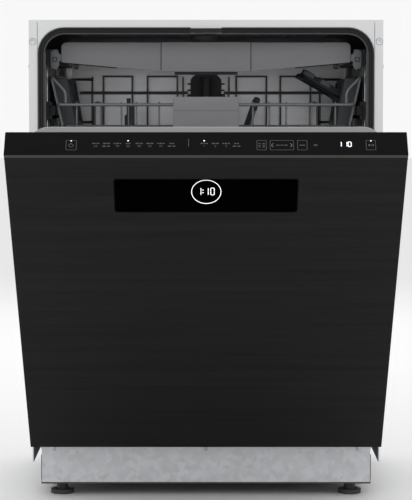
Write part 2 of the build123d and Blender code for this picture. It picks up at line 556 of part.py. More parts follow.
ARM_X = BRACKET_X - GAP - 1
with BuildPart() as hinge_arms:
    profile_along_x([(PIVOT[1] - 8, PIVOT[2]), (PIVOT[1] + 8, PIVOT[2]), (PIVOT[1] + 8, LINER_LOW + 10),
                     (DOOR_BACK - SHEET, LINER_LOW + 10), (DOOR_BACK - SHEET, LINER_LOW + 150),
                     (PIVOT[1] - 8, LINER_LOW + 150)], ARM_X - 5, ARM_X)
    rod((ARM_X - 5, *PIVOT[1:]), (ARM_X, *PIVOT[1:]), 8)
    rod((ARM_X - 6, *PIVOT[1:]), (ARM_X + 1, *PIVOT[1:]), PIN_R + PIN_FIT, Mode.SUBTRACT)
    mirror(about=Plane.YZ)
save_door(hinge_arms.part, "hinge_arms")

with BuildPart() as control_board:
    board_z = DOOR_TOP - 13
    block((-120, 120), (DOOR_FRONT + PANEL_DEEP + 3, DOOR_BACK - 6), (board_z, board_z + 2))
    for x in (-110, 110):
        rod((x, (DOOR_FRONT + PANEL_DEEP + DOOR_BACK) / 2, board_z),
            (x, (DOOR_FRONT + PANEL_DEEP + DOOR_BACK) / 2, DOOR_TOP - FASCIA_THICK), 4)
    for x in (-80, -45, 45, 80):
        block((x - 9, x + 9), (-26, -14), (board_z + 2, board_z + 7))
save_door(control_board.part, "control_board")

with BuildPart() as door_lock:
    block((-24, 24), (DOOR_FRONT + PANEL_DEEP + 3, DOOR_BACK - SHEET - PLASTIC),
          (STRIKER_Z - 12, STRIKER_Z + 3))
    block((-STRIKER_X - 5, STRIKER_X + 5), (-22, 0), (STRIKER_Z - 5, STRIKER_Z + 4), Mode.SUBTRACT)
    for ear_x in (24, -40):
        block((ear_x, ear_x + 16), (DOOR_BACK - SHEET - 8, DOOR_BACK - SHEET), (STRIKER_Z - 12, STRIKER_Z))
save_door(door_lock.part, "door_lock")

# ---------------------------------------------------------------- detergent dispenser
DISPENSER = ((-5, 155), (445, 585))
CHAMBER = ((6, 78), (456, 574))
RINSE = (120, 540)
with BuildPart() as dispenser:
    (x_low, x_high), (z_low, z_high) = DISPENSER
    block((x_low + GAP, x_high - GAP), (PLATEAU_BACK - 34, PLATEAU_BACK), (z_low + GAP, z_high - GAP))
    block(CHAMBER[0], (PLATEAU_BACK - 26, PLATEAU_BACK + 1), CHAMBER[1], Mode.SUBTRACT)
    rod((RINSE[0], PLATEAU_BACK - 18, RINSE[1]), (RINSE[0], PLATEAU_BACK + 1, RINSE[1]), 15, Mode.SUBTRACT)
save_door(dispenser.part, "dispenser_body")

with BuildPart() as dispenser_lid:
    lid_y = PLATEAU_BACK + GAP
    block((CHAMBER[0][0] - 6, CHAMBER[0][1] + 4), (lid_y, lid_y + 2.5),
          (CHAMBER[1][0] - 6, CHAMBER[1][1] + 6))
    fillet(dispenser_lid.edges().filter_by(Axis.Y), 5)
    block((CHAMBER[0][0] + 10, CHAMBER[0][1] - 10), (lid_y + 2, lid_y + 4.5),
          (CHAMBER[1][0] + 6, CHAMBER[1][0] + 10))
save_door(dispenser_lid.part, "dispenser_lid")

with BuildPart() as rinse_cap:
    rod((RINSE[0], lid_y, RINSE[1]), (RINSE[0], lid_y + 3, RINSE[1]), 21)
    block((RINSE[0] - 9, RINSE[0] + 9), (lid_y, lid_y + 3), (RINSE[1], RINSE[1] + 25))
    rod((RINSE[0], lid_y - 9, RINSE[1]), (RINSE[0], lid_y + 1, RINSE[1]), 13.5)
save_door(rinse_cap.part, "rinse_aid_cap")

# ================================================================ cutlery tray
with BuildPart() as tray_front:
    centre_y = CUTLERY_FRONT - 1.5
    profile_along_y([(-CUTLERY_X, TRAY_TOP), (CUTLERY_X, TRAY_TOP), (CUTLERY_X, CUTLERY_LOW + 16),
                     (CUTLERY_CENTRE, CUTLERY_LOW), (-CUTLERY_CENTRE, CUTLERY_LOW),
                     (-CUTLERY_X, CUTLERY_LOW + 16)], CUTLERY_FRONT, CUTLERY_FRONT + 7)
    fillet(tray_front.edges().filter_by(Axis.Y).group_by(Axis.Z)[-1], 10)
    block((-CUTLERY_CENTRE, CUTLERY_CENTRE), (centre_y, CUTLERY_FRONT + 1), (CUTLERY_LOW, TRAY_TOP))
    block((-52, 52), (CUTLERY_FRONT, CUTLERY_FRONT + 6), (CUTLERY_LOW - 5, CUTLERY_LOW))
save(tray_front.part, "tray_front")

TRAY_FLOOR = HEX_Z - 7
TRAY_SIDE_X = CUTLERY_X - 2
TRAY_BACK = RACK_BACK - 9
TRAY_MOUTH = CUTLERY_FRONT + 7
JOINT = 0.05                  # seam between mouldings that are clipped together
SLOT_ROWS = (8, 6)
with BuildPart() as tray_floor:
    block((JOINT - TRAY_SIDE_X, TRAY_SIDE_X - JOINT), (TRAY_MOUTH, TRAY_BACK),
          (TRAY_FLOOR, TRAY_FLOOR + PLASTIC))
    pitch_x = 2 * CUTLERY_X / (SLOT_ROWS[0] + 0.2)
    pitch_y = (TRAY_BACK - CUTLERY_FRONT) / (SLOT_ROWS[1] + 0.3)
    with BuildSketch(Plane.XY.offset(TRAY_FLOOR)):
        with Locations((0, (CUTLERY_FRONT + TRAY_BACK) / 2 + 3)):
            with GridLocations(pitch_x, pitch_y, *SLOT_ROWS):
                Rectangle(pitch_x - 12, pitch_y - 12)
    extrude(amount=PLASTIC, mode=Mode.SUBTRACT)
tray_walls = (TRAY_FLOOR + PLASTIC + JOINT, TRAY_TOP - 6)
with BuildPart() as tray_ends:
    for wall_y in (TRAY_MOUTH, TRAY_BACK - PLASTIC):
        block((PLASTIC + JOINT - TRAY_SIDE_X, TRAY_SIDE_X - PLASTIC - JOINT), (wall_y, wall_y + PLASTIC),
              tray_walls)
with BuildPart() as tray_sides:
    runner_x, runner_z = TUB_X - 17 - GAP, (HEX_Z - 6, HEX_Z + 6)
    block((TRAY_SIDE_X - PLASTIC, TRAY_SIDE_X), (TRAY_MOUTH, TRAY_BACK), tray_walls)
    block((TRAY_SIDE_X, runner_x), (CUTLERY_FRONT + 12, TRAY_BACK), runner_z)
    block((CUTLERY_X + 1, runner_x), (CUTLERY_FRONT - GAP, CUTLERY_FRONT + 13), runner_z)
    mirror(about=Plane.YZ)
tray_pieces = [solid for moulding in (tray_floor, tray_ends, tray_sides) for solid in moulding.part.solids()]
save_group(tray_pieces, "tray_frame")

# ================================================================ upper basket
inner_y = RACK_FRONT + RIM_R + WIRE_R + 0.05
back_y = RACK_BACK - RIM_R - WIRE_R - 0.05
cross_y = spread(inner_y + LAYER, back_y - LAYER, 8)
front_posts = [-221, -180, -144.5, -118.8, -80, 80, 108.3, 137.3, 180, 221]
loop_posts = [-193, -138.6, -110, -54, 57, 113.7, 140, 196.6]
upper_wires = along_y([(x, UPPER_FLOOR) for x in spread(-220, 220, 12)], WIRE_R,
                      inner_y + LAYER / 2, back_y - LAYER / 2)
upper_wires += along_x([(y, UPPER_FLOOR + LAYER) for y in cross_y], WIRE_R, -UPPER_FLOOR_X, UPPER_FLOOR_X)
upper_wires += along_z([(x, inner_y) for x in front_posts], WIRE_R, UPPER_FLOOR - 2, UPPER_FRONT_RIM + 5)
upper_wires += along_z([(x, back_y) for x in (-214, 214, -43, 43)], WIRE_R, UPPER_FLOOR - 2, UPPER_RIM + 3)
upper_wires += along_z([(x, back_y) for x in loop_posts], WIRE_R, UPPER_FLOOR - 2, UPPER_RIM + 2)
for left, right in zip(loop_posts[0::2], loop_posts[1::2]):
    upper_wires += along_x([(back_y, UPPER_RIM + 2 + WIRE_R + 0.05)], WIRE_R, left - WIRE_R, right + WIRE_R)
side_rise = UPPER_RIM - RIM_R - UPPER_FLOOR - LAYER
side_lean = UPPER_RIM_X - UPPER_FLOOR_X - WIRE_R
slant = Vector(side_lean, 0, side_rise)
for side in (-1, 1):
    foot_plane = Plane(origin=(side * (UPPER_FLOOR_X + WIRE_R + 0.3), 0, UPPER_FLOOR + LAYER),
                       x_dir=(0, 1, 0), z_dir=(side * side_lean, 0, side_rise))
    upper_wires += wires(foot_plane, [(y, 0) for y in (cross_y[0], 74, 360, cross_y[-2], cross_y[-1])],
                         WIRE_R, slant.length - 0.8)
save_group(upper_wires, "upper_basket_wires")

upper_rims = along_x([(RACK_FRONT, UPPER_FRONT_RIM)], RIM_R, 22.3 - TUB_X, TUB_X - 22.3)
upper_rims += along_y([(-UPPER_RIM_X, UPPER_RIM), (UPPER_RIM_X, UPPER_RIM)], RIM_R, RACK_FRONT + 3, RACK_BACK)
upper_rims += along_x([(RACK_BACK, UPPER_BACK_RIM)], RIM_R, 38 - TUB_X, -34)
upper_rims += along_x([(RACK_BACK, UPPER_BACK_RIM)], RIM_R, 34, TUB_X - 38)
save_group(upper_rims, "upper_basket_rims")

with BuildPart() as upper_handle:
    handle_low, handle_high = UPPER_FRONT_RIM - 43, UPPER_FRONT_RIM + 13.6
    block((-56, 56), (RACK_FRONT - RIM_R - 4.3, RACK_FRONT - RIM_R - 0.05), (handle_low, handle_high))
    fillet(upper_handle.edges().filter_by(Axis.Y), 6)
    block((-50, 50), (RACK_FRONT - RIM_R - 1, RACK_FRONT + 8), (handle_high - 4, handle_high - 0.5))
save(upper_handle.part, "upper_handle")

with BuildPart() as height_adjusters:
    plate_top, plate_low = UPPER_RIM - RIM_R - GAP, UPPER_FLOOR + 36
    profile_along_y([(TUB_X - 35, plate_top), (TUB_X - 12, plate_top), (TUB_X - 26, plate_low),
                     (TUB_X - 50, plate_low)], 95, 345)
    offset(amount=-PLASTIC, openings=height_adjusters.faces().sort_by(Axis.Z)[0])
    block((TUB_X - 30, TUB_X - 17), (95, 345), (RAIL_Z - RAIL_HALF, RAIL_Z + RAIL_HALF))
    mirror(about=Plane.YZ)
save(height_adjusters.part, "height_adjusters")

PIPE_Z = UPPER_FLOOR - 18
with BuildPart() as feed_pipe:
    rod((0, ARM_CENTRE_Y, PIPE_Z), (0, back_y - 18, PIPE_Z), 9)
    rod((0, back_y - 18, PIPE_Z - 12), (0, back_y - 18, DOCK_Z + 12), 10)
    rod((0, back_y - 18, DOCK_Z), (0, TUB_BACK - 13 - GAP, DOCK_Z), 9)
    rod((0, ARM_CENTRE_Y, UPPER_ARM_Z + ARM_THICK + GAP), (0, ARM_CENTRE_Y, UPPER_FLOOR - WIRE_R - 0.1), 15)
    rod((0, ARM_CENTRE_Y, UPPER_ARM_Z - 2), (0, ARM_CENTRE_Y, PIPE_Z), HUB_STUB)
    rod((0, ARM_CENTRE_Y, UPPER_ARM_Z - 4), (0, ARM_CENTRE_Y, UPPER_ARM_Z - GAP), HUB_STUB + 3)
save(feed_pipe.part, "upper_feed_pipe")


def spray_arm(height):
    """Returns one two-bladed spray arm whose underside is at the given height."""
    with BuildPart() as arm:
        with BuildSketch(Plane.XY.offset(height)):
            with Locations((0, ARM_CENTRE_Y)):
                SlotOverall(2 * SPRAY_R, 36)
                Circle(30)
                Circle(HUB_BORE, mode=Mode.SUBTRACT)
        extrude(amount=ARM_THICK)
        fillet(arm.faces().sort_by(Axis.Z)[-1].outer_wire().edges(), 3)
        with BuildSketch(Plane.XY.offset(height + ARM_THICK)):
            with Locations((0, ARM_CENTRE_Y)):
                with Locations((-185, 6), (-140, -6), (-90, 4), (70, -5), (120, 6), (170, -6)):
                    Circle(2)
        extrude(amount=-2, mode=Mode.SUBTRACT)
    return arm.part


save(spray_arm(UPPER_ARM_Z), "upper_spray_arm")
save(spray_arm(LOWER_ARM_Z), "lower_spray_arm")

SHELF_PIVOT = (TUB_X - 44.7, UPPER_FLOOR + 85)
SHELF_REACH = 76
SHELF_SPAN = (110, 330)
with BuildPart() as cup_shelf:
    x, z = SHELF_PIVOT
    rod((x, SHELF_SPAN[0], z), (x, SHELF_SPAN[1], z), 3)
    with BuildSketch(Plane(origin=(x, 0, z), x_dir=(-0.87, 0, 0.5), z_dir=(0.5, 0, 0.87))):
        with Locations((SHELF_REACH / 2 + 1, -(SHELF_SPAN[0] + SHELF_SPAN[1]) / 2)):
            RectangleRounded(SHELF_REACH, SHELF_SPAN[1] - SHELF_SPAN[0], 6)
            with GridLocations(0, 52, 1, 4):
                RectangleRounded(SHELF_REACH - 16, 44, 4, mode=Mode.SUBTRACT)
    extrude(amount=3)
save(cup_shelf.part, "cup_shelf")

TINE_Z = UPPER_FLOOR + LAYER + WIRE_R + 2.4
TINE_Y = spread(95, 395, 11)


def tine_row(x, top):
    """Returns one row of tines along Y on its turning wire."""
    row = along_y([(x, TINE_Z)], 2, 80, 410)
    row += along_z([(x, y) for y in TINE_Y], WIRE_R, TINE_Z + 2.05, top)
    return row


save_group(tine_row(-134, UPPER_FLOOR + 75), "upper_tines")

# ================================================================ lower basket
lower_y = spread(inner_y + LAYER, back_y - LAYER, 8)
side_x = LOWER_X
lower_wires = along_y([(x, LOWER_FLOOR) for x in spread(-220, 220, 11)], WIRE_R,
                      inner_y + LAYER / 2, back_y - LAYER / 2)
lower_wires += along_x([(y, LOWER_FLOOR + LAYER) for y in lower_y], WIRE_R, WIRE_R - side_x, side_x - WIRE_R)
lower_wires += along_z([(side * side_x, y) for side in (-1, 1) for y in lower_y], WIRE_R,
                       LOWER_FLOOR - 2, LOWER_RIM + 2)
lower_wires += along_z([(x, inner_y) for x in spread(-198, 198, 10)], WIRE_R, LOWER_FLOOR - 2, LOWER_RIM + 2)
lower_wires += along_z([(x, back_y) for x in spread(-198, 198, 10)], WIRE_R, LOWER_FLOOR - 2, LOWER_RIM + 2)
rim_out = side_x + WIRE_R + RIM_R + 0.05
lower_wires += along_x([(RACK_FRONT, LOWER_RIM), (RACK_BACK, LOWER_RIM)], RIM_R,
                       -rim_out - RIM_R, rim_out + RIM_R)
lower_wires += along_y([(-rim_out, LOWER_RIM), (rim_out, LOWER_RIM)], RIM_R, RACK_FRONT + RIM_R + 0.1,
                       RACK_BACK - RIM_R - 0.1)
save_group(lower_wires, "lower_basket_wires")

WHEEL_Z = LEDGE_TOP + WHEEL_R + GAP
WHEEL_X = side_x + 11
with BuildPart() as lower_fittings:
    for y in WHEEL_Y:
        block((side_x + WIRE_R + 0.1, WHEEL_X - GAP), (y - 15, y + 15), (WHEEL_Z - 6, LOWER_FLOOR + 40))
        rod((WHEEL_X - 4, y, WHEEL_Z), (WHEEL_X + WHEEL_THICK + 1, y, WHEEL_Z), AXLE_R)
    mirror(about=Plane.YZ)
    handle_y = RACK_FRONT - RIM_R
    block((-60, 60), (handle_y - 4.3, handle_y - 0.05), (LOWER_RIM - 26, LOWER_RIM + 8))
    block((-54, 54), (handle_y - 1, RACK_FRONT + 6), (LOWER_RIM + 4, LOWER_RIM + 7.5))
save(lower_fittings.part, "lower_basket_fittings")

for wheel_y, wheel_name in zip(WHEEL_Y, ("lower_front_wheels", "lower_rear_wheels")):
    with BuildPart() as wheel_pair:
        rod((WHEEL_X, wheel_y, WHEEL_Z), (WHEEL_X + WHEEL_THICK, wheel_y, WHEEL_Z), WHEEL_R)
        with BuildSketch(Plane.YZ.offset(WHEEL_X)):
            with Locations((wheel_y, WHEEL_Z)):
                with PolarLocations(10, 6):
                    Circle(2.5)
        extrude(amount=WHEEL_THICK, mode=Mode.SUBTRACT)
        rod((WHEEL_X - 1, wheel_y, WHEEL_Z), (WHEEL_X + WHEEL_THICK + 1, wheel_y, WHEEL_Z), AXLE_R + PIN_FIT,
            Mode.SUBTRACT)
        mirror(about=Plane.YZ)
    save(wheel_pair.part, wheel_name)

LOWER_TINE = (lower_y[2], LOWER_FLOOR + LAYER + WIRE_R + 2.4)
lower_tines = along_x([LOWER_TINE], 2, -205, 205)
lower_tines += along_z([(x, LOWER_TINE[0]) for x in spread(-190, 190, 12)], WIRE_R, LOWER_TINE[1] + 2.05,
                       LOWER_TINE[1] + 66)
save_group(lower_tines, "lower_tines")
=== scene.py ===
"""Looks of a built in dishwasher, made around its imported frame.

Sizes are in millimetres until a mesh is made, and +X is to the right seen from the front, +Y to the
rear and +Z up. The door's pieces are drawn with the door closed and then turned to its rest angle.
"""

import json
import logging
import math
from dataclasses import dataclass
from enum import Enum
from typing import Callable, Iterable, Sequence, Union

import bpy
from mathutils import Matrix, Vector

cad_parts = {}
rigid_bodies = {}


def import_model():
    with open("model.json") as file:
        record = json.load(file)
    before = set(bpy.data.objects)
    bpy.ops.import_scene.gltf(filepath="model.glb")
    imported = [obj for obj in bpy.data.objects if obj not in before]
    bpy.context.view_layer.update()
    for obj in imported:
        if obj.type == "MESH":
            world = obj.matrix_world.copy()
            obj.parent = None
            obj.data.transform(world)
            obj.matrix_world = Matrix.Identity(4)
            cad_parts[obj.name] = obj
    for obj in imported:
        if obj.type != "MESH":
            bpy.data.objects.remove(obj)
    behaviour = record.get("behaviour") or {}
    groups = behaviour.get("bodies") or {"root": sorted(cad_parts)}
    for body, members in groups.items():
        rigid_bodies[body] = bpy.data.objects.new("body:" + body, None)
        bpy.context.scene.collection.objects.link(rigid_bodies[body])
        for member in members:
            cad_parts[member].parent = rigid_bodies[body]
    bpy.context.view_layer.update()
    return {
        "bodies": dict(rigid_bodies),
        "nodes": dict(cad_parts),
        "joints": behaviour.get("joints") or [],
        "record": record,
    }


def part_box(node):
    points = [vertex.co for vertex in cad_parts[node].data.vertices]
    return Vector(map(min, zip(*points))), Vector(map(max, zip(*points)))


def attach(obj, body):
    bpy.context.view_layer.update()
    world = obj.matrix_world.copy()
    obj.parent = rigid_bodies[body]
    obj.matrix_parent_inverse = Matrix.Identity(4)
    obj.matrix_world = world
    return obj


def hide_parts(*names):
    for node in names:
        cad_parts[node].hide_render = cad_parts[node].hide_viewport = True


LOG = logging.getLogger("dishwasher")
MILLIMETRE = 0.001
WELD = 0.01 * MILLIMETRE            # points closer than this are one point
FINE_WELD = 0.001 * MILLIMETRE      # the same in small print
CRISP = 35.0                        # edges sharper than this many degrees stay crisp
Colour = tuple[float, float, float]
Point = Sequence[float]
Number = Union[float, "Signal"]


# ---------------------------------------------------------------- shader maths
class Signal:
    """A node's output socket that can be used in Python expressions."""

    def __init__(self, recipe: "Recipe", socket: bpy.types.NodeSocket) -> None:
        """Wrap a socket of a recipe's node tree."""
        self.recipe = recipe
        self.socket = socket

    def _maths(self, operation: str, *values: Number) -> "Signal":
        """Add one Math node.

        Args:
            operation: The Math node's operation.
            values: Numbers or signals for its sockets, in order.

        Returns:
            The node's result.
        """
        node = self.recipe.node("ShaderNodeMath", {"operation": operation}, dict(enumerate(values)))
        return Signal(self.recipe, node.outputs[0])

    def __add__(self, other: Number) -> "Signal":
        """Add another value."""
        return self._maths("ADD", self, other)

    def __radd__(self, other: Number) -> "Signal":
        """Be added to a number."""
        return self._maths("ADD", other, self)

    def __sub__(self, other: Number) -> "Signal":
        """Take another value away."""
        return self._maths("SUBTRACT", self, other)

    def __rsub__(self, other: Number) -> "Signal":
        """Be taken from a number."""
        return self._maths("SUBTRACT", other, self)

    def __mul__(self, other: Number) -> "Signal":
        """Multiply by another value."""
        return self._maths("MULTIPLY", self, other)

    def __rmul__(self, other: Number) -> "Signal":
        """Multiply a number."""
        return self._maths("MULTIPLY", other, self)


class Recipe:
    """One material's node tree, built up from its Principled shader."""

    def __init__(self, name: str) -> None:
        """Start an empty material.

        Args:
            name: The material's name.
        """
        self.material = bpy.data.materials.new(name)
        self.material.use_nodes = True
        self.tree = self.material.node_tree
        self.tree.nodes.clear()
        self.shader = self.tree.nodes.new("ShaderNodeBsdfPrincipled")
        output = self.tree.nodes.new("ShaderNodeOutputMaterial")
        self.tree.links.new(self.shader.outputs[0], output.inputs[0])
        self.coordinates = Signal(self, self.tree.nodes.new("ShaderNodeTexCoord").outputs["Object"])

    def node(self, kind: str, settings: dict, inputs: dict) -> bpy.types.Node:
        """Add any node.

        Args:
            kind: The node's type.
            settings: Its own settings, which are set first.
            inputs: Values or signals for its sockets, by name or number.

        Returns:
            The new node.
        """
        node = self.tree.nodes.new(kind)
        for name, value in settings.items():
            setattr(node, name, value)
        self.fill(node, inputs)
        return node

    def fill(self, node: bpy.types.Node, inputs: dict) -> None:
        """Set or link a node's sockets.

        Args:
            node: The node.
            inputs: Values or signals, by socket name or number.
        """
        for name, value in inputs.items():
            socket = node.inputs[name]
            if isinstance(value, Signal):
                self.tree.links.new(value.socket, socket)
            elif socket.type == "RGBA" and len(value) == 3:
                socket.default_value = (*value, 1.0)
            else:
                socket.default_value = value

    def surface(self, **sockets: object) -> None:
        """Set the shader's sockets, named with underscores for spaces."""
        self.fill(self.shader, {name.replace("_", " "): value for name, value in sockets.items()})

    def stretched(self, scale: Point) -> Signal:
        """Give the object's coordinates, scaled along each axis.

        Args:
            scale: Cells per metre along X, Y and Z.

        Returns:
            The scaled coordinates.
        """
        node = self.node("ShaderNodeMapping", {}, {"Vector": self.coordinates, "Scale": scale})
        return Signal(self, node.outputs[0])

    def noise(self, place: Signal, scale: float = 1.0, detail: float = 2.0) -> Signal:
        """Give smooth noise from about 0.3 to 0.7.

        Args:
            place: Coordinates to read it at.
            scale: Extra cells per unit of the coordinates.
            detail: How many finer layers it has.

        Returns:
            The noise's value.
        """
        node = self.node("ShaderNodeTexNoise", {}, {"Vector": place, "Scale": scale, "Detail": detail})
        return Signal(self, node.outputs[0])

    def shades(self, mask: Number, colour: Colour, dark: float, light: float) -> Signal:
        """Mix a darker and a lighter shade of one colour.

        Args:
            mask: Share of the lighter shade.
            colour: The linear colour that both shades come from.
            dark: Factor on the colour where the mask is 0.
            light: Factor on the colour where the mask is 1.

        Returns:
            The mixed colour.
        """
        node = self.node("ShaderNodeMix", {"data_type": "RGBA", "clamp_factor": True},
                         {0: mask, 6: scaled(colour, dark), 7: scaled(colour, light)})
        return Signal(self, node.outputs[2])

    def relief(self, height: Signal, depth: float) -> Signal:
        """Turn a height into a surface normal.

        Args:
            height: Height from 0 to 1.
            depth: What a height of 1 is, in millimetres.

        Returns:
            The bumped normal.
        """
        node = self.node("ShaderNodeBump", {},
                         {"Height": height, "Distance": depth * MILLIMETRE, "Strength": 1.0})
        return Signal(self, node.outputs[0])


def scaled(colour: Colour, share: float) -> Colour:
    """Scale a colour's brightness.

    Args:
        colour: Linear colour.
        share: Factor on each channel.

    Returns:
        The scaled colour.
    """
    return tuple(min(channel * share, 1.0) for channel in colour)


# ---------------------------------------------------------------- finishes
@dataclass(frozen=True)
class BrushedSheet:
    """Rolled or brushed metal sheet, with streaks along X."""

    colour: Colour
    roughness: float
    metallic: float = 1.0
    streaks: float = 0.25
    fine: float = 900.0
    depth: float = 0.01
    specular: float = 0.5

    def make(self, name: str) -> bpy.types.Material:
        """Build the material under the given name."""
        recipe = Recipe(name)
        lines = recipe.noise(recipe.stretched((7.0, self.fine, self.fine)), detail=3.0)
        bands = recipe.noise(recipe.stretched((1.6, 70.0, 70.0)))
        clouds = recipe.noise(recipe.coordinates, 9.0)
        tone = lines * 0.6 + bands * 0.4
        recipe.surface(
            Base_Color=recipe.shades(tone * 1.6 - 0.3, self.colour, 1 - self.streaks, 1 + self.streaks),
            Roughness=(lines - 0.5) * 0.16 + (clouds - 0.5) * 0.08 + self.roughness,
            Metallic=self.metallic,
            Specular_IOR_Level=self.specular,
            Normal=recipe.relief(lines, self.depth))
        return recipe.material


@dataclass(frozen=True)
class MouldedPlastic:
    """Injection moulded plastic with a spark eroded texture."""

    colour: Colour
    roughness: float = 0.45
    mottle: float = 0.06
    texture: float = 0.02
    specular: float = 0.4

    def make(self, name: str) -> bpy.types.Material:
        """Build the material under the given name."""
        recipe = Recipe(name)
        pits = recipe.noise(recipe.coordinates, 2600.0, 1.0)
        flow = recipe.noise(recipe.stretched((12.0, 12.0, 30.0)))
        recipe.surface(
            Base_Color=recipe.shades(flow * 1.8 - 0.4, self.colour, 1 - self.mottle, 1 + self.mottle),
            Roughness=(pits - 0.5) * 0.12 + (flow - 0.5) * 0.1 + self.roughness,
            Specular_IOR_Level=self.specular,
            Normal=recipe.relief(pits, self.texture))
        return recipe.material


@dataclass(frozen=True)
class GlossPanel:
    """Glossy dark panel with the faint haze of a wiped surface."""

    colour: Colour
    roughness: float = 0.12
    haze: float = 0.1
    specular: float = 0.5

    def make(self, name: str) -> bpy.types.Material:
        """Build the material under the given name."""
        recipe = Recipe(name)
        wipes = recipe.noise(recipe.stretched((5.0, 40.0, 40.0)), detail=4.0)
        peel = recipe.noise(recipe.coordinates, 140.0, 1.0)
        recipe.surface(
            Base_Color=recipe.shades(wipes, self.colour, 0.8, 1.25),
            Roughness=(wipes - 0.4) * self.haze + self.roughness,
            Specular_IOR_Level=self.specular,
            Normal=recipe.relief(peel, 0.006))
        return recipe.material


@dataclass(frozen=True)
class PaintedSheet:
    """Flat coloured sheet with a slight orange peel; on the stainless front frame its pale colour is a
    painted reflection.
    """

    colour: Colour
    roughness: float = 0.38
    metallic: float = 0.0

    def make(self, name: str) -> bpy.types.Material:
        """Build the material under the given name."""
        recipe = Recipe(name)
        peel = recipe.noise(recipe.coordinates, 520.0, 2.0)
        clouds = recipe.noise(recipe.coordinates, 6.0)
        recipe.surface(
            Base_Color=recipe.shades(clouds * 1.5 - 0.25, self.colour, 0.97, 1.03),
            Roughness=(peel - 0.5) * 0.1 + self.roughness, Metallic=self.metallic,
            Normal=recipe.relief(peel, 0.03))
        return recipe.material


@dataclass(frozen=True)
class ZincSheet:
    """Galvanised sheet with its spangle of zinc crystals."""

    colour: Colour
    roughness: float = 0.42

    def make(self, name: str) -> bpy.types.Material:
        """Build the material under the given name."""
        recipe = Recipe(name)
        warp = recipe.noise(recipe.coordinates, 60.0, 3.0)
        crystals = recipe.node("ShaderNodeTexVoronoi", {"voronoi_dimensions": "3D"},
                               {"Vector": recipe.coordinates, "Scale": 95.0})
        facet = Signal(recipe, recipe.node("ShaderNodeSeparateColor", {},
                                           {0: Signal(recipe, crystals.outputs[1])}).outputs[0])
        tone = facet * 0.6 + warp * 0.4
        recipe.surface(
            Base_Color=recipe.shades(tone, self.colour, 0.84, 1.12),
            Roughness=(tone - 0.5) * 0.18 + self.roughness, Metallic=0.75,
            Normal=recipe.relief(warp, 0.02))
        return recipe.material


@dataclass(frozen=True)
class SoftRubber:
    """Matt extruded rubber with bloom and fine drag lines."""

    colour: Colour
    roughness: float = 0.6

    def make(self, name: str) -> bpy.types.Material:
        """Build the material under the given name."""
        recipe = Recipe(name)
        bloom = recipe.noise(recipe.coordinates, 45.0, 4.0)
        pores = recipe.noise(recipe.coordinates, 1400.0, 2.0)
        recipe.surface(
            Base_Color=recipe.shades(bloom * 1.4 - 0.2, self.colour, 1.0, 1.5),
            Roughness=(bloom - 0.5) * 0.2 + self.roughness, Specular_IOR_Level=0.3,
            Normal=recipe.relief(pores, 0.04))
        return recipe.material


@dataclass(frozen=True)
class DippedWire:
    """Nylon coat on steel wire, slightly uneven along its length."""

    colour: Colour
    roughness: float = 0.34

    def make(self, name: str) -> bpy.types.Material:
        """Build the material under the given name."""
        recipe = Recipe(name)
        runs = recipe.noise(recipe.coordinates, 160.0, 2.0)
        specks = recipe.noise(recipe.coordinates, 1900.0, 1.0)
        recipe.surface(
            Base_Color=recipe.shades(runs, self.colour, 0.85, 1.15),
            Roughness=(specks - 0.5) * 0.15 + self.roughness, Coat_Weight=0.25,
            Normal=recipe.relief(runs, 0.08))
        return recipe.material


@dataclass(frozen=True)
class PrintedInk:
    """Screen printed ink, a little uneven in its cover."""

    colour: Colour
    glow: float = 0.0

    def make(self, name: str) -> bpy.types.Material:
        """Build the material under the given name."""
        recipe = Recipe(name)
        cover = recipe.noise(recipe.coordinates, 900.0, 2.0)
        recipe.surface(
            Base_Color=recipe.shades(cover, self.colour, 0.85, 1.1),
            Roughness=(cover - 0.5) * 0.2 + 0.5)
        if self.glow:
            recipe.surface(Emission_Color=self.colour, Emission_Strength=self.glow)
        return recipe.material


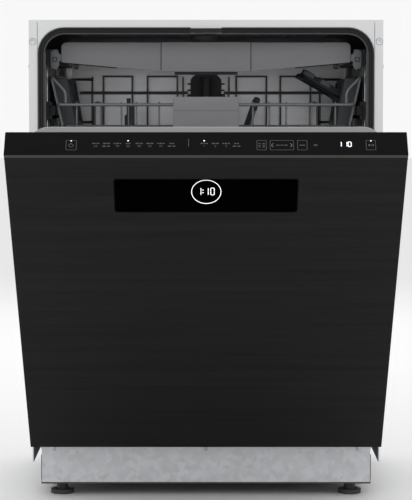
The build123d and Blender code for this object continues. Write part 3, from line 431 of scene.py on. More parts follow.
class Skin(Enum):
    """The record's material slot and the finish of everything that wears it."""

    TUB = ("tub_steel", BrushedSheet((0.49, 0.492, 0.5), 0.36, streaks=0.1, fine=700.0))
    # Darker copy of the tub steel: painted shade on the door's inner sheet and its pressings.
    LINER = ("tub_steel", BrushedSheet((0.28, 0.282, 0.287), 0.36, streaks=0.1, fine=700.0))
    DOOR_BLACK = ("black_steel",
                  BrushedSheet((0.0115, 0.0115, 0.0115), 0.5, 0.1, streaks=0.6, fine=420.0, depth=0.02,
                                            specular=0.08))
    FASCIA = ("black_glass_plastic", GlossPanel((0.0042, 0.0042, 0.0042), 0.22, 0.05, 0.04))
    POCKET = ("pocket_black", GlossPanel((0.0003, 0.0003, 0.0003), 0.16, 0.02, 0.005))
    LIT = ("display_light", PrintedInk((0.82, 0.82, 0.84), 0.9))
    BRONZE = ("bronze_trim", BrushedSheet((0.034, 0.034, 0.027), 0.4, 0.5, streaks=0.3))
    # The front frame is stainless steel; its near-white colour is a painted reflection of the pale studio.
    FRAME = ("frame_white", PaintedSheet((0.62, 0.623, 0.625), 0.4))
    ZINC = ("zinc_sheet", ZincSheet((0.52, 0.53, 0.545)))
    SEAL = ("seal_rubber", SoftRubber((0.0075, 0.0075, 0.008)))
    BASE = ("base_plastic", MouldedPlastic((0.03, 0.031, 0.033), 0.55, texture=0.05))
    WHITE = ("white_plastic", MouldedPlastic((0.62, 0.63, 0.64), 0.4))
    GREY = ("grey_plastic", MouldedPlastic((0.17, 0.17, 0.175), 0.42, mottle=0.04))
    TRAY = ("tray_grey", MouldedPlastic((0.168, 0.168, 0.174), 0.5, mottle=0.03))
    DARK = ("dark_plastic", MouldedPlastic((0.022, 0.023, 0.024), 0.45))
    BLUE_GREY = ("blue_grey_plastic", MouldedPlastic((0.011, 0.0145, 0.018), 0.5, specular=0.2))
    WIRE = ("coated_wire", DippedWire((0.10, 0.105, 0.11)))
    STEEL = ("plain_steel", BrushedSheet((0.5, 0.51, 0.52), 0.32, streaks=0.12))
    BLUE = ("cap_blue", MouldedPlastic((0.02, 0.10, 0.32), 0.35))
    INK = ("display_light", PrintedInk((0.052, 0.052, 0.052)))
    PALE_INK = ("display_light", PrintedInk((0.085, 0.085, 0.085)))
    # Lighter copy of the seal rubber: a painted highlight along the seal's inner lip.
    SEAL_LIP_HIGHLIGHT = ("seal_rubber", SoftRubber((0.05, 0.051, 0.053), 0.5))
    SHADED_STEEL = ("plain_steel",
                    BrushedSheet((0.013, 0.0135, 0.014), 0.45, 0.2, streaks=0.15, specular=0.2))
    # Lighter copy of the dark plastic: painted light on the water dock and its feed pipe, which sit in shade.
    DOCK = ("dark_plastic", MouldedPlastic((0.07, 0.072, 0.075), 0.5))
    BLUE_GREY_END = ("tray_grey", MouldedPlastic((0.10, 0.106, 0.112), 0.5, mottle=0.03))
    # Darker copy of the coated wire: painted shade on the side hoops and the belt.
    SHADED_WIRE = ("coated_wire", DippedWire((0.02, 0.021, 0.022)))
    ADJUSTER = ("dark_plastic", MouldedPlastic((0.034, 0.037, 0.041), 0.5))
    PALE_BLUE_GREY = ("blue_grey_plastic", MouldedPlastic((0.06, 0.066, 0.072), 0.42))

    @property
    def slot(self) -> str:
        """Name of the record's material slot."""
        return self.value[0]

    def material(self) -> bpy.types.Material:
        """Give the skin's material, made on its first use."""
        name = f"dishwasher_{self.name.lower()}"
        return bpy.data.materials.get(name) or self.value[1].make(name)


# CAD nodes that look different from the rest of their material slot; the liner, the rails and the dock get
# darker or lighter copies of it as painted shade or painted light
DRESSED_APART = {
    "pocket_display": Skin.POCKET,
    "latch_striker": Skin.SEAL,
    "height_adjusters": Skin.ADJUSTER,
    "tray_rails": Skin.SHADED_STEEL,
    "upper_rail_channels": Skin.SHADED_STEEL,
    "upper_rail_slides": Skin.SHADED_STEEL,
    "upper_feed_dock": Skin.DOCK,
    "upper_feed_pipe": Skin.DOCK,
    "door_liner": Skin.LINER,
}


# ---------------------------------------------------------------- modelling bench
@dataclass(frozen=True)
class Seat:
    """Where a flat outline is drawn: an origin, and the directions that are across and up on it."""

    origin: Point = (0.0, 0.0, 0.0)
    across: Point = (1.0, 0.0, 0.0)
    up: Point = (0.0, 1.0, 0.0)

    def matrix(self) -> Matrix:
        """Give the matrix from (across, up, out) in metres to the object's frame."""
        across, up = Vector(self.across).normalized(), Vector(self.up).normalized()
        columns = (across, up, across.cross(up))
        turn = Matrix([[column[row] for column in columns] for row in range(3)]).to_4x4()
        return Matrix.Translation(Vector(self.origin) * MILLIMETRE) @ turn

    def at(self, *origin: float) -> "Seat":
        """Give the same seat at another origin."""
        return Seat(origin, self.across, self.up)


FLOOR_UP = Seat()
FRONT = Seat(up=(0.0, 0.0, 1.0))
REAR = Seat(across=(-1.0, 0.0, 0.0), up=(0.0, 0.0, 1.0))
RIGHT = Seat(across=(0.0, 1.0, 0.0), up=(0.0, 0.0, 1.0))
UNDER = Seat(up=(0.0, -1.0, 0.0))


def clear_selection() -> None:
    """Leave edit mode and deselect everything."""
    if bpy.context.mode != "OBJECT":
        bpy.ops.object.mode_set(mode="OBJECT")
    bpy.ops.object.select_all(action="DESELECT")


def take(piece: bpy.types.Object) -> bpy.types.Object:
    """Make a piece the only selected and the active one.

    Args:
        piece: The piece.

    Returns:
        The same piece.
    """
    clear_selection()
    piece.select_set(True)
    bpy.context.view_layer.objects.active = piece
    return piece


def soften(piece: bpy.types.Object, edge: float = 0.0, steps: int = 2,
           angle: float = CRISP) -> bpy.types.Object:
    """Round a piece's sharp edges and shade it.

    Args:
        piece: The piece.
        edge: Width of the rounding, or 0 for none.
        steps: Faces across the rounding.
        angle: Edges sharper than this many degrees are rounded and stay crisp in shading.

    Returns:
        The same piece.
    """
    take(piece)
    if edge:
        bevel = piece.modifiers.new("edge", "BEVEL")
        bevel.width, bevel.segments = edge * MILLIMETRE, steps
        bevel.limit_method, bevel.angle_limit = "ANGLE", math.radians(angle)
        bpy.ops.object.modifier_apply(modifier=bevel.name)
    bpy.ops.object.shade_smooth_by_angle(angle=math.radians(angle))
    return piece


def close_up(weld: float = 0.0) -> None:
    """Turn every face of the edited mesh outwards and leave edit mode.

    Args:
        weld: Points closer than this, in metres, are merged first; 0 merges none.
    """
    bpy.ops.mesh.select_all(action="SELECT")
    if weld:
        bpy.ops.mesh.remove_doubles(threshold=weld)
    bpy.ops.mesh.normals_make_consistent(inside=False)
    bpy.ops.object.mode_set(mode="OBJECT")


def raised(piece: bpy.types.Object, thick: float, seat: Seat, edge: float) -> bpy.types.Object:
    """Raise a flat piece that is being edited into a solid, and move it to its seat.

    Args:
        piece: The flat piece.
        thick: How far it is raised outwards.
        seat: Its seat.
        edge: Width of the rounding along its edges, or 0 for none.

    Returns:
        The same piece.
    """
    bpy.ops.mesh.select_all(action="SELECT")
    bpy.ops.mesh.extrude_region_move(TRANSFORM_OT_translate={"value": (0, 0, thick * MILLIMETRE)})
    close_up()
    rest_on(piece, seat)
    return soften(piece, edge)


def rest_on(piece: bpy.types.Object, seat: Seat) -> bpy.types.Object:
    """Move a piece drawn on the origin to its seat, in its mesh.

    Args:
        piece: The piece.
        seat: Its seat.

    Returns:
        The same piece.
    """
    piece.data.transform(seat.matrix())
    return piece


def slab(low: Point, high: Point, edge: float = 0.6, steps: int = 2) -> bpy.types.Object:
    """Model a block between two corners, with rounded edges.

    Args:
        low: Its lowest corner.
        high: Its highest corner.
        edge: Width of the rounding.
        steps: Faces across the rounding.

    Returns:
        The block.
    """
    clear_selection()
    low, high = Vector(low) * MILLIMETRE, Vector(high) * MILLIMETRE
    bpy.ops.mesh.primitive_cube_add(size=1, location=(low + high) / 2, scale=high - low)
    bpy.ops.object.transform_apply(location=True, rotation=True, scale=True)
    piece = bpy.context.object
    return soften(piece, edge, steps) if edge else piece


def plate(outline: Sequence[Sequence[float]], seat: Seat, thick: float, corner: float = 0.0,
          edge: float = 0.0,
          rounded: Callable[[float, float], bool] = lambda across, up: True) -> bpy.types.Object:
    """Model a flat part from its outline.

    Args:
        outline: Corners as (across, up), anticlockwise seen from outside.
        seat: Where the outline is drawn.
        thick: How far it is raised outwards.
        corner: Radius-like cut of the outline's corners.
        edge: Width of the rounding along its edges.
        rounded: Says which corners are cut.

    Returns:
        The part.
    """
    clear_selection()
    bpy.ops.mesh.primitive_circle_add(vertices=len(outline), radius=0.1, fill_type="NGON")
    piece = bpy.context.object
    for vertex, (across, up) in zip(piece.data.vertices, outline):
        vertex.co = (across * MILLIMETRE, up * MILLIMETRE, 0.0)
    bpy.ops.object.mode_set(mode="EDIT")
    bpy.ops.mesh.select_all(action="SELECT")
    if corner:
        pick(piece, "VERT", lambda place, _: rounded(place.x, place.y))
        bpy.ops.mesh.bevel(offset=corner * MILLIMETRE, affect="VERTICES", segments=5)
        bpy.ops.mesh.select_mode(type="FACE")
    return raised(piece, thick, seat, edge)


def pick(piece: bpy.types.Object, part: str, test: Callable[[Vector, Vector], bool]) -> None:
    """Select parts of a mesh by place and normal, in edit mode.

    Args:
        piece: The piece.
        part: "VERT" or "FACE".
        test: Says whether a part with this centre, in millimetres, and this normal is selected.
    """
    if bpy.context.mode != "EDIT_MESH":
        take(piece)
        bpy.ops.object.mode_set(mode="EDIT")
    bpy.ops.mesh.select_mode(type=part)
    bpy.ops.mesh.select_all(action="DESELECT")
    bpy.ops.object.mode_set(mode="OBJECT")
    mesh = piece.data
    if part == "FACE":
        for face in mesh.polygons:
            face.select = test(face.center / MILLIMETRE, face.normal)
    else:
        for vertex in mesh.vertices:
            vertex.select = test(vertex.co / MILLIMETRE, vertex.normal)
    bpy.ops.object.mode_set(mode="EDIT")


def ring(half: Sequence[float], seat: Seat, corner: float, width: float, thick: float, edge: float = 0.0
         ) -> bpy.types.Object:
    """Model a rounded rectangular ring, such as a bead, a frame or a key's printed outline.

    Args:
        half: Half its outer size across and up.
        seat: Where its middle is.
        corner: Cut of its outer corners.
        width: Width of the ring's band.
        thick: How far it is raised outwards.
        edge: Width of the rounding along its edges.

    Returns:
        The ring.
    """
    clear_selection()
    bpy.ops.mesh.primitive_plane_add(size=2)
    piece = bpy.context.object
    piece.data.transform(Matrix.Diagonal((half[0] * MILLIMETRE, half[1] * MILLIMETRE, 1, 1)))
    bpy.ops.object.mode_set(mode="EDIT")
    bpy.ops.mesh.select_mode(type="VERT")
    bpy.ops.mesh.select_all(action="SELECT")
    bpy.ops.mesh.bevel(offset=corner * MILLIMETRE, affect="VERTICES", segments=8)
    bpy.ops.mesh.select_mode(type="FACE")
    bpy.ops.mesh.select_all(action="SELECT")
    bpy.ops.mesh.inset(thickness=width * MILLIMETRE)
    bpy.ops.mesh.delete(type="FACE")
    return raised(piece, thick, seat, edge)


def chain(path: Sequence[Point]) -> bpy.types.Object:
    """Model a chain of edges and leave it selected in edit mode.

    Args:
        path: Its corners.

    Returns:
        The chain.
    """
    clear_selection()
    bpy.ops.mesh.primitive_plane_add(size=MILLIMETRE, location=Vector(path[0]) * MILLIMETRE)
    piece = bpy.context.object
    bpy.ops.object.transform_apply(location=True, rotation=True, scale=True)
    bpy.ops.object.mode_set(mode="EDIT")
    bpy.ops.mesh.select_mode(type="VERT")
    bpy.ops.mesh.select_all(action="SELECT")
    bpy.ops.mesh.merge(type="CENTER")
    for start, end in zip(path, path[1:]):
        step = (Vector(end) - Vector(start)) * MILLIMETRE
        bpy.ops.mesh.extrude_region_move(TRANSFORM_OT_translate={"value": step})
    bpy.ops.mesh.select_all(action="SELECT")
    return piece


def wire(path: Sequence[Point], radius: float, bend: float = 0.0, sides: int = 2) -> bpy.types.Object:
    """Bend a round wire along a path.

    Args:
        path: Corners of its centre line.
        radius: Radius of the wire.
        bend: How far from a corner its bend starts.
        sides: Fineness of its section.

    Returns:
        The wire.
    """
    piece = chain(path)
    if bend and len(path) > 2:
        bpy.ops.mesh.bevel(offset=bend * MILLIMETRE, affect="VERTICES", segments=5)
    bpy.ops.object.mode_set(mode="OBJECT")
    bpy.ops.object.convert(target="CURVE")
    piece = bpy.context.object
    piece.data.bevel_depth, piece.data.bevel_resolution = radius * MILLIMETRE, sides
    piece.data.use_fill_caps = True
    bpy.ops.object.convert(target="MESH")
    piece = bpy.context.object
    bpy.ops.object.mode_set(mode="EDIT")
    close_up(WELD)
    return soften(piece, angle=50.0)


def turned(profile: Sequence[Sequence[float]], seat: Seat, sides: int = 32,
           crisp: float = CRISP) -> bpy.types.Object:
    """Turn a round part from its profile.

    Args:
        profile: Points as (radius, height along the seat's outward direction).
        seat: Where its axis starts.
        sides: Faces around it.
        crisp: Angle above which edges stay crisp.

    Returns:
        The part.
    """
    piece = chain([(radius, 0.0, height) for radius, height in profile])
    bpy.ops.mesh.spin(steps=sides, angle=math.tau, center=(0, 0, 0), axis=(0, 0, 1))
    close_up(WELD)
    rest_on(piece, seat)
    return soften(piece, angle=crisp)


def copies(piece: bpy.types.Object, moves: Iterable[Point]) -> list[bpy.types.Object]:
    """Copy a piece, each copy with its own mesh.

    Args:
        piece: The piece, which stays where it is.
        moves: How far each copy is moved.

    Returns:
        The copies.
    """
    made = []
    for move in moves:
        take(piece)
        bpy.ops.object.duplicate()
        twin = bpy.context.object
        twin.data.transform(Matrix.Translation(Vector(move) * MILLIMETRE))
        made.append(twin)
    return made


def repeat(piece: bpy.types.Object, moves: Sequence[Point]) -> bpy.types.Object:
    """Repeat a piece at several moves and join the copies; the piece itself goes.

    Args:
        piece: The pattern piece.
        moves: How far each copy is moved from it.

    Returns:
        All copies as one piece.
    """
    made = copies(piece, moves)
    bpy.data.objects.remove(piece)
    return join(made)


def join(pieces: Sequence[bpy.types.Object]) -> bpy.types.Object:
    """Join pieces into one.

    Args:
        pieces: The pieces.

    Returns:
        The joined piece.
    """
    take(pieces[0])
    for piece in pieces:
        piece.select_set(True)
    if len(pieces) > 1:
        bpy.ops.object.join()
    return bpy.context.object


def mirrored(piece: bpy.types.Object) -> bpy.types.Object:
    """Add a piece's mirror image on the other side of the middle.

    Args:
        piece: The piece on one side.

    Returns:
        The same piece with both sides.
    """
    take(piece)
    mirror = piece.modifiers.new("other_side", "MIRROR")
    mirror.use_axis = (True, False, False)
    mirror.use_mirror_merge = False
    bpy.ops.object.modifier_apply(modifier=mirror.name)
    return piece


def bored(piece: bpy.types.Object, cutter: bpy.types.Object) -> bpy.types.Object:
    """Cut one piece's shape out of another.

    Args:
        piece: The piece that is cut.
        cutter: The shape that is taken out; it goes.

    Returns:
        The cut piece.
    """
    take(piece)
    cut = piece.modifiers.new("cut", "BOOLEAN")
    cut.operation, cut.solver, cut.object = "DIFFERENCE", "EXACT", cutter
    bpy.ops.object.modifier_apply(modifier=cut.name)
    bpy.data.objects.remove(cutter)
    return soften(piece)


def spaced(low: float, high: float, count: int) -> list[float]:
    """Give evenly spaced values.

    Args:
        low: The first value.
        high: The last value.
        count: How many there are.

    Returns:
        The values.
    """
    return [low + (high - low) * index / (count - 1) for index in range(count)]


def figure(text: str, seat: Seat, size: float, thick: float) -> bpy.types.Object:
    """Model digits as thin raised print, centred on a seat.

    Args:
        text: The digits.
        seat: Where their middle is.
        size: Height of a line.
        thick: How far they are raised.

    Returns:
        The print.
    """
    clear_selection()
    bpy.ops.object.text_add()
    body = bpy.context.object.data
    body.body, body.size, body.extrude = text, size * MILLIMETRE, thick * MILLIMETRE / 2
    body.align_x, body.align_y, body.resolution_u = "CENTER", "CENTER", 3
    bpy.ops.object.convert(target="MESH")
    piece = bpy.context.object
    bpy.ops.object.mode_set(mode="EDIT")
    bpy.ops.mesh.select_all(action="SELECT")
    bpy.ops.mesh.remove_doubles(threshold=FINE_WELD)
    bpy.ops.object.mode_set(mode="OBJECT")
    piece.data.transform(Matrix.Translation((0, 0, thick * MILLIMETRE / 2)))
    return rest_on(piece, seat)


def tine_tip(across: float, depth: float, top: float) -> bpy.types.Object:
    """Turn the rounded tip of the coat on a tine.

    Args:
        across: Distance of the tine from the middle.
        depth: Where the tine stands along Y.
        top: Height of the tine's end.

    Returns:
        The tip.
    """
    profile = [(1.6, -1), (1.9, 0), (1.5, 1.1), (0.8, 1.6), (0, 1.75)]
    return turned(profile, FLOOR_UP.at(across, depth, top - 0.6), 12)


# Lit bars of each digit that is shown: a to f run clockwise from the top bar, and g is the middle one
SEGMENTS = {"0": "abcdef", "1": "bc"}


def lit_digit(value: str, seat: Seat, width: float, height: float, bar: float,
              thick: float) -> bpy.types.Object:
    """Model a seven segment digit.

    Args:
        value: The digit.
        seat: Where its middle is.
        width: Width between the middles of the upright bars.
        height: Height between the middles of the top and bottom bars.
        bar: Width of a bar.
        thick: How far the bars are raised.

    Returns:
        The digit.
    """
    side, half, gap = width / 2, height / 2, bar * 0.3
    level = {"a": half, "g": 0.0, "d": -half}
    upright = {"b": (side, 1), "c": (side, -1), "e": (-side, -1), "f": (-side, 1)}
    bars = []
    for name in SEGMENTS[value]:
        if name in level:
            low, high = (-side + gap, level[name] - bar / 2), (side - gap, level[name] + bar / 2)
        else:
            across, way = upright[name]
            near, far = sorted((way * gap, way * (half - gap)))
            low, high = (across - bar / 2, near), (across + bar / 2, far)
        bars.append(slab((*low, 0.0), (*high, thick), edge=0.0))
    return rest_on(join(bars), seat)


@dataclass
class Fitter:
    """Hands finished pieces to the frame and reports them."""

    frame: dict

    def fit(self, piece: bpy.types.Object, name: str, skin: Skin, body: str,
            *stands_for: str) -> bpy.types.Object:
        """Name a piece, give it its finish and let it ride on a body.

        Args:
            piece: The finished piece.
            name: Its name.
            skin: Its finish.
            body: The body that it moves with.
            stands_for: CAD nodes that it replaces.

        Returns:
            The same piece.
        """
        clear_selection()
        piece.name = piece.data.name = name
        piece.data.materials.clear()
        piece.data.materials.append(skin.material())
        for face in piece.data.polygons:
            face.material_index = 0
        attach(piece, body)
        if stands_for:
            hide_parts(*stands_for)
        LOG.info("%-28s %6d faces, %s, rides on %s", name, len(piece.data.polygons), skin.name.lower(), body)
        return piece

    def dress_nodes(self) -> None:
        """Give every CAD node the finish of its material slot."""
        finishes = {}
        for skin in Skin:
            finishes.setdefault(skin.slot, skin)
        for part in self.frame["record"]["subparts"]:
            node = self.frame["nodes"][part["node"]]
            node.data.materials.clear()
            skin = DRESSED_APART.get(part["node"], finishes[part["material_slot"]])
            node.data.materials.append(skin.material())


def lowest(node: str) -> Vector:
    """Give a CAD node's lowest corner in millimetres."""
    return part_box(node)[0] / MILLIMETRE


def highest(node: str) -> Vector:
    """Give a CAD node's highest corner in millimetres."""
    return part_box(node)[1] / MILLIMETRE


# ---------------------------------------------------------------- cabinet
@dataclass
class Cabinet:
    """The outer sheets, the front frame and the seal around the tub's mouth."""

    fitter: Fitter
    body: str = "cabinet"
    bead_wide: float = 9.0
    bead_rise: float = 1.1
    bead_edge: float = 0.9
    top_bead_rise: float = 0.8
    top_bead_edge: float = 0.6
    seal_bulb: float = 1.7
    seal_lip_highlight: float = 0.9
    striker_gap: float = 26.1
    screw_head: float = 4.2

    def build(self) -> None:
        """Build and fit every piece of the cabinet."""
        self.seal()
        self.frame_bushes()
        self.side_beads()
        self.rear_details()
        self.connections()
        self.top_beads()
        self.base_details()

    def seal(self) -> None:
        """Model the door seal: a flat foot, an outer bulb and an inner lip whose lighter rubber is a painted
        highlight, cut away at the striker.
        """
        low, high = lowest("door_gasket"), highest("door_gasket")
        middle = (low.z + high.z) / 2
        half = (high.x, (high.z - low.z) / 2)
        foot = ring(half, FRONT.at(0, high.y, middle), 44, 12.5, 1.4, 0.5)
        gap = slab((-self.striker_gap, -10, high.z - 25), (self.striker_gap, 1, high.z + 5), 0)
        foot = bored(foot, gap)
        front = high.y - self.seal_bulb
        bulbs = [self.run_of_seal(half, middle, inset, radius, depth, bend, self.striker_gap)
                 for inset, radius, depth, bend in
                 ((2.2, self.seal_bulb, front, 42), (6.4, 1.2, front - 0.2, 38))]
        self.fitter.fit(join([foot, *bulbs]), "seal_body", Skin.SEAL, self.body, "door_gasket")
        # The lip's lighter rubber is a painted highlight along the seal's inner edge.
        lip = self.run_of_seal(half, middle, 10.6, self.seal_lip_highlight, front - 0.8, 34, 0.2)
        self.fitter.fit(lip, "seal_lip_highlight", Skin.SEAL_LIP_HIGHLIGHT, self.body)

    def run_of_seal(self, half: Sequence[float], middle: float, inset: float, radius: float, depth: float,
                    bend: float, gap: float) -> bpy.types.Object:
        """Model one round run of the seal from one side of the striker to the other.

        Args:
            half: Half the seal's outer size across and up.
            middle: Height of the seal's middle.
            inset: How far the run's centre lies inside the outer edge.
            radius: Radius of the run.
            depth: Where its centre lies along Y.
            bend: How far from a corner its bend starts.
            gap: How far from the middle of the top it starts and ends.

        Returns:
            The run.
        """
        side, top, foot = half[0] - inset, middle + half[1] - inset, middle - half[1] + inset
        path = [(gap, depth, top), (side, depth, top), (side, depth, foot), (-side, depth, foot),
                (-side, depth, top), (-gap, depth, top)]
        return wire(path, radius, bend)

    def frame_bushes(self) -> None:
        """Model the screw bushes in the front frame's side flanges, and the flanges' inner folds."""
        hole_x, hole_z, radius = 292.4, 781.6, 4.7
        face = lowest("front_frame").y
        profile = [(0, -0.6), (2.2, -0.6), (2.6, 0.1), (3.6, 0.35), (5.4, 0.35), (5.7, 0), (5.7, -0.3),
                   (radius, -0.3), (radius, -1.8), (0, -1.8)]
        bush = turned(profile, FRONT.at(hole_x, face, hole_z), 28)
        self.fitter.fit(mirrored(bush), "frame_bushes", Skin.ZINC, self.body)
        rim = turned([(5.4, 0), (6.1, 0), (6.1, 0.3), (5.4, 0.3), (5.4, 0)], FRONT.at(hole_x, face, hole_z),
                     28)
        fold = slab((284.0, face - 0.25, 182), (284.9, face + 0.2, 814), 0.1)
        self.fitter.fit(mirrored(join([rim, fold])), "frame_folds", Skin.GREY, self.body)

    def bead(self, half: Sequence[float], seat: Seat, corner: float) -> bpy.types.Object:
        """Model one rounded rectangular bead of an upright sheet.

        Args:
            half: Half its outer size across and up.
            seat: Where its middle is.
            corner: Cut of its outer corners.

        Returns:
            The bead.
        """
        return ring(half, seat, corner, self.bead_wide, self.bead_rise, self.bead_edge)

    def side_beads(self) -> None:
        """Press stiffening beads, ribs and a folded seam into the side sheets and screw them on."""
        right = highest("side_panels").x
        low, high = lowest("side_panels"), highest("side_panels")
        mid_y, mid_z = (low.y + high.y) / 2 + 12, (low.z + high.z) / 2 + 20
        beads = [self.bead(half, RIGHT.at(right, mid_y, mid_z + lift), corner)
                 for half, lift, corner in
                 (((190, 300), 0, 40), ((118, 118), 150, 30), ((118, 96), -160, 30))]
        seam = slab((right - 0.1, high.y - 16, low.z + 4), (right + 0.5, high.y - 1, high.z - 2), 0.2)
        rib = slab((right - 0.1, mid_y - 60, mid_z - 22), (right + self.bead_rise, mid_y + 60, mid_z - 14),
                   0.5)
        ribs = join([rib, *copies(rib, [(0, 0, 18), (0, 0, 36)])])
        self.fitter.fit(mirrored(join([*beads, seam, ribs])), "side_beads", Skin.ZINC, self.body)
        heads = repeat(self.screw(RIGHT.at(right, high.y - 8, low.z + 60)),
                       [(0, 0, step) for step in (0, 210, 420, 600)])
        more = repeat(self.screw(RIGHT.at(right, 14, low.z + 160)), [(0, 0, step) for step in (0, 260, 520)])
        self.fitter.fit(mirrored(join([heads, more])), "side_screws", Skin.STEEL, self.body)

    def screw(self, seat: Seat) -> bpy.types.Object:
        """Model a pan head screw with a cross recess.

        Args:
            seat: Where its head sits.

        Returns:
            The screw's head.
        """
        profile = [(0, 0.9), (1.1, 1.0), (1.5, 1.9), (2.6, 1.7), (3.6, 1.0), (self.screw_head, 0.2),
                   (5.2, 0.15), (5.2, 0)]
        return turned(profile, seat, 18, 50)

    def rear_details(self) -> None:
        """Press beads and louvres into the rear sheet and add its screws and blank plate."""
        low, high = lowest("rear_panel"), highest("rear_panel")
        back = high.y
        middle = (low.z + high.z) / 2
        frame = self.bead((270, 345), REAR.at(0, back, middle + 10), 34)
        panels = [self.bead((112, 120), REAR.at(x, back, z), 26) for x in (-130, 130) for z in (600, 330)]
        self.fitter.fit(join([frame, *panels]), "rear_beads", Skin.ZINC, self.body)
        louvre = plate([(-26, -1.6), (26, -1.6), (22, 2.6), (-22, 2.6)], REAR.at(0, back, 690), 1.6, 1.2, 0.6)
        louvres = repeat(louvre, [(x, 0, -step * 9.0) for x in (-130, 130) for step in range(7)])
        self.fitter.fit(louvres, "rear_louvres", Skin.ZINC, self.body)
        heads = repeat(self.screw(REAR.at(0, back, 0)),
                       [(x, 0, z) for x in (-288, 288) for z in (90, 290, 490, 790)]
                       + [(0, 0, 795), (0, 0, 75)])
        self.fitter.fit(heads, "rear_screws", Skin.STEEL, self.body)
        label = slab((90, back - 0.1, 180), (158, back + 0.3, 224), 0.15)
        self.fitter.fit(label, "blank_rating_plate", Skin.WHITE, self.body)

    def connections(self) -> None:
        """Add a collar around each water connection, the inlet's thread and the drain's barbs."""
        back = highest("rear_panel").y
        inlet, drain = REAR.at(-190, back, 98), REAR.at(225, back, 140)
        collars = [turned([(bore, 0), (bore + 6, 0), (bore + 6, 1.4), (bore + 2, 2.6), (bore, 2.6),
                           (bore, 0)],
                          seat, 32) for seat, bore in ((inlet, 13.4), (drain, 10.2))]
        self.fitter.fit(join(collars), "connection_collars", Skin.DARK, self.body)
        crest, root, bore, pitch = 13.9, 13.2, 9.4, 2.1
        thread = [(root, 1.5)]
        for turn in range(5):
            thread += [(crest, 2.2 + pitch * turn), (root, 3.3 + pitch * turn)]
        thread += [(root, 13.6), (bore, 13.9), (bore, 1.5), (root, 1.5)]
        self.fitter.fit(turned(thread, inlet, 36, 20), "inlet_thread", Skin.WHITE, self.body)
        barbs = [(10.0, 1.5), (10.6, 5), (9.9, 5.2), (10.6, 9), (9.9, 9.2), (10.3, 12.6), (8.2, 13.8),
                 (7.2, 13.8), (7.2, 1.5), (10.0, 1.5)]
        self.fitter.fit(turned(barbs, drain, 32, 20), "drain_barbs", Skin.DARK, self.body)

    def top_beads(self) -> None:
        """Press beads into the top sheet and screw it down."""
        top = highest("top_cover").z
        beads = [ring(half, FLOOR_UP.at(x, 252, top), corner, self.bead_wide, self.top_bead_rise,
                      self.top_bead_edge)
                 for half, x, corner in (((280, 232), 0, 30), ((110, 190), -140, 26), ((110, 190), 140, 26))]
        self.fitter.fit(join(beads), "top_beads", Skin.ZINC, self.body)
        heads = repeat(self.screw(FLOOR_UP.at(0, 0, top)),
                       [(x, y, 0) for x in (-290, 290) for y in (14, 250, 488)])
        self.fitter.fit(heads, "top_screws", Skin.STEEL, self.body)

    def base_details(self) -> None:
        """Add ribs under and around the base tray and the screws of the kick plate."""
        low, high = lowest("base_tray"), highest("base_tray")
        rib = slab((-1.2, low.y - 1.8, low.z + 4), (1.2, low.y + 0.2, high.z - 3), 0.4)
        bars = [repeat(rib, [(x, high.y - low.y + 1.6, 0) for x in spaced(-260, 260, 14)])]
        side = slab((high.x - 0.2, low.y + 10, low.z + 4), (high.x + 1.8, low.y + 12.4, high.z - 3), 0.4)
        bars.append(mirrored(repeat(side, [(0, step, 0) for step in spaced(10, 410, 11)])))
        under = ring((266, 205), UNDER.at(0, (low.y + high.y) / 2, low.z), 20, 4, 1.6, 0.5)
        cross = slab((-262, low.y + 100, low.z - 1.4), (262, low.y + 104, low.z + 0.2), 0.4)
        bars += [under, repeat(cross, [(0, step, 0) for step in (0, 70, 180, 250)])]
        self.fitter.fit(join(bars), "base_ribs", Skin.BASE, self.body)
        face = lowest("kick_plate").y
        screws = repeat(self.screw(FRONT.at(0, face, 0)), [(x, 0, 84) for x in (-262, 0, 262)])
        self.fitter.fit(screws, "kick_plate_screws", Skin.STEEL, self.body)


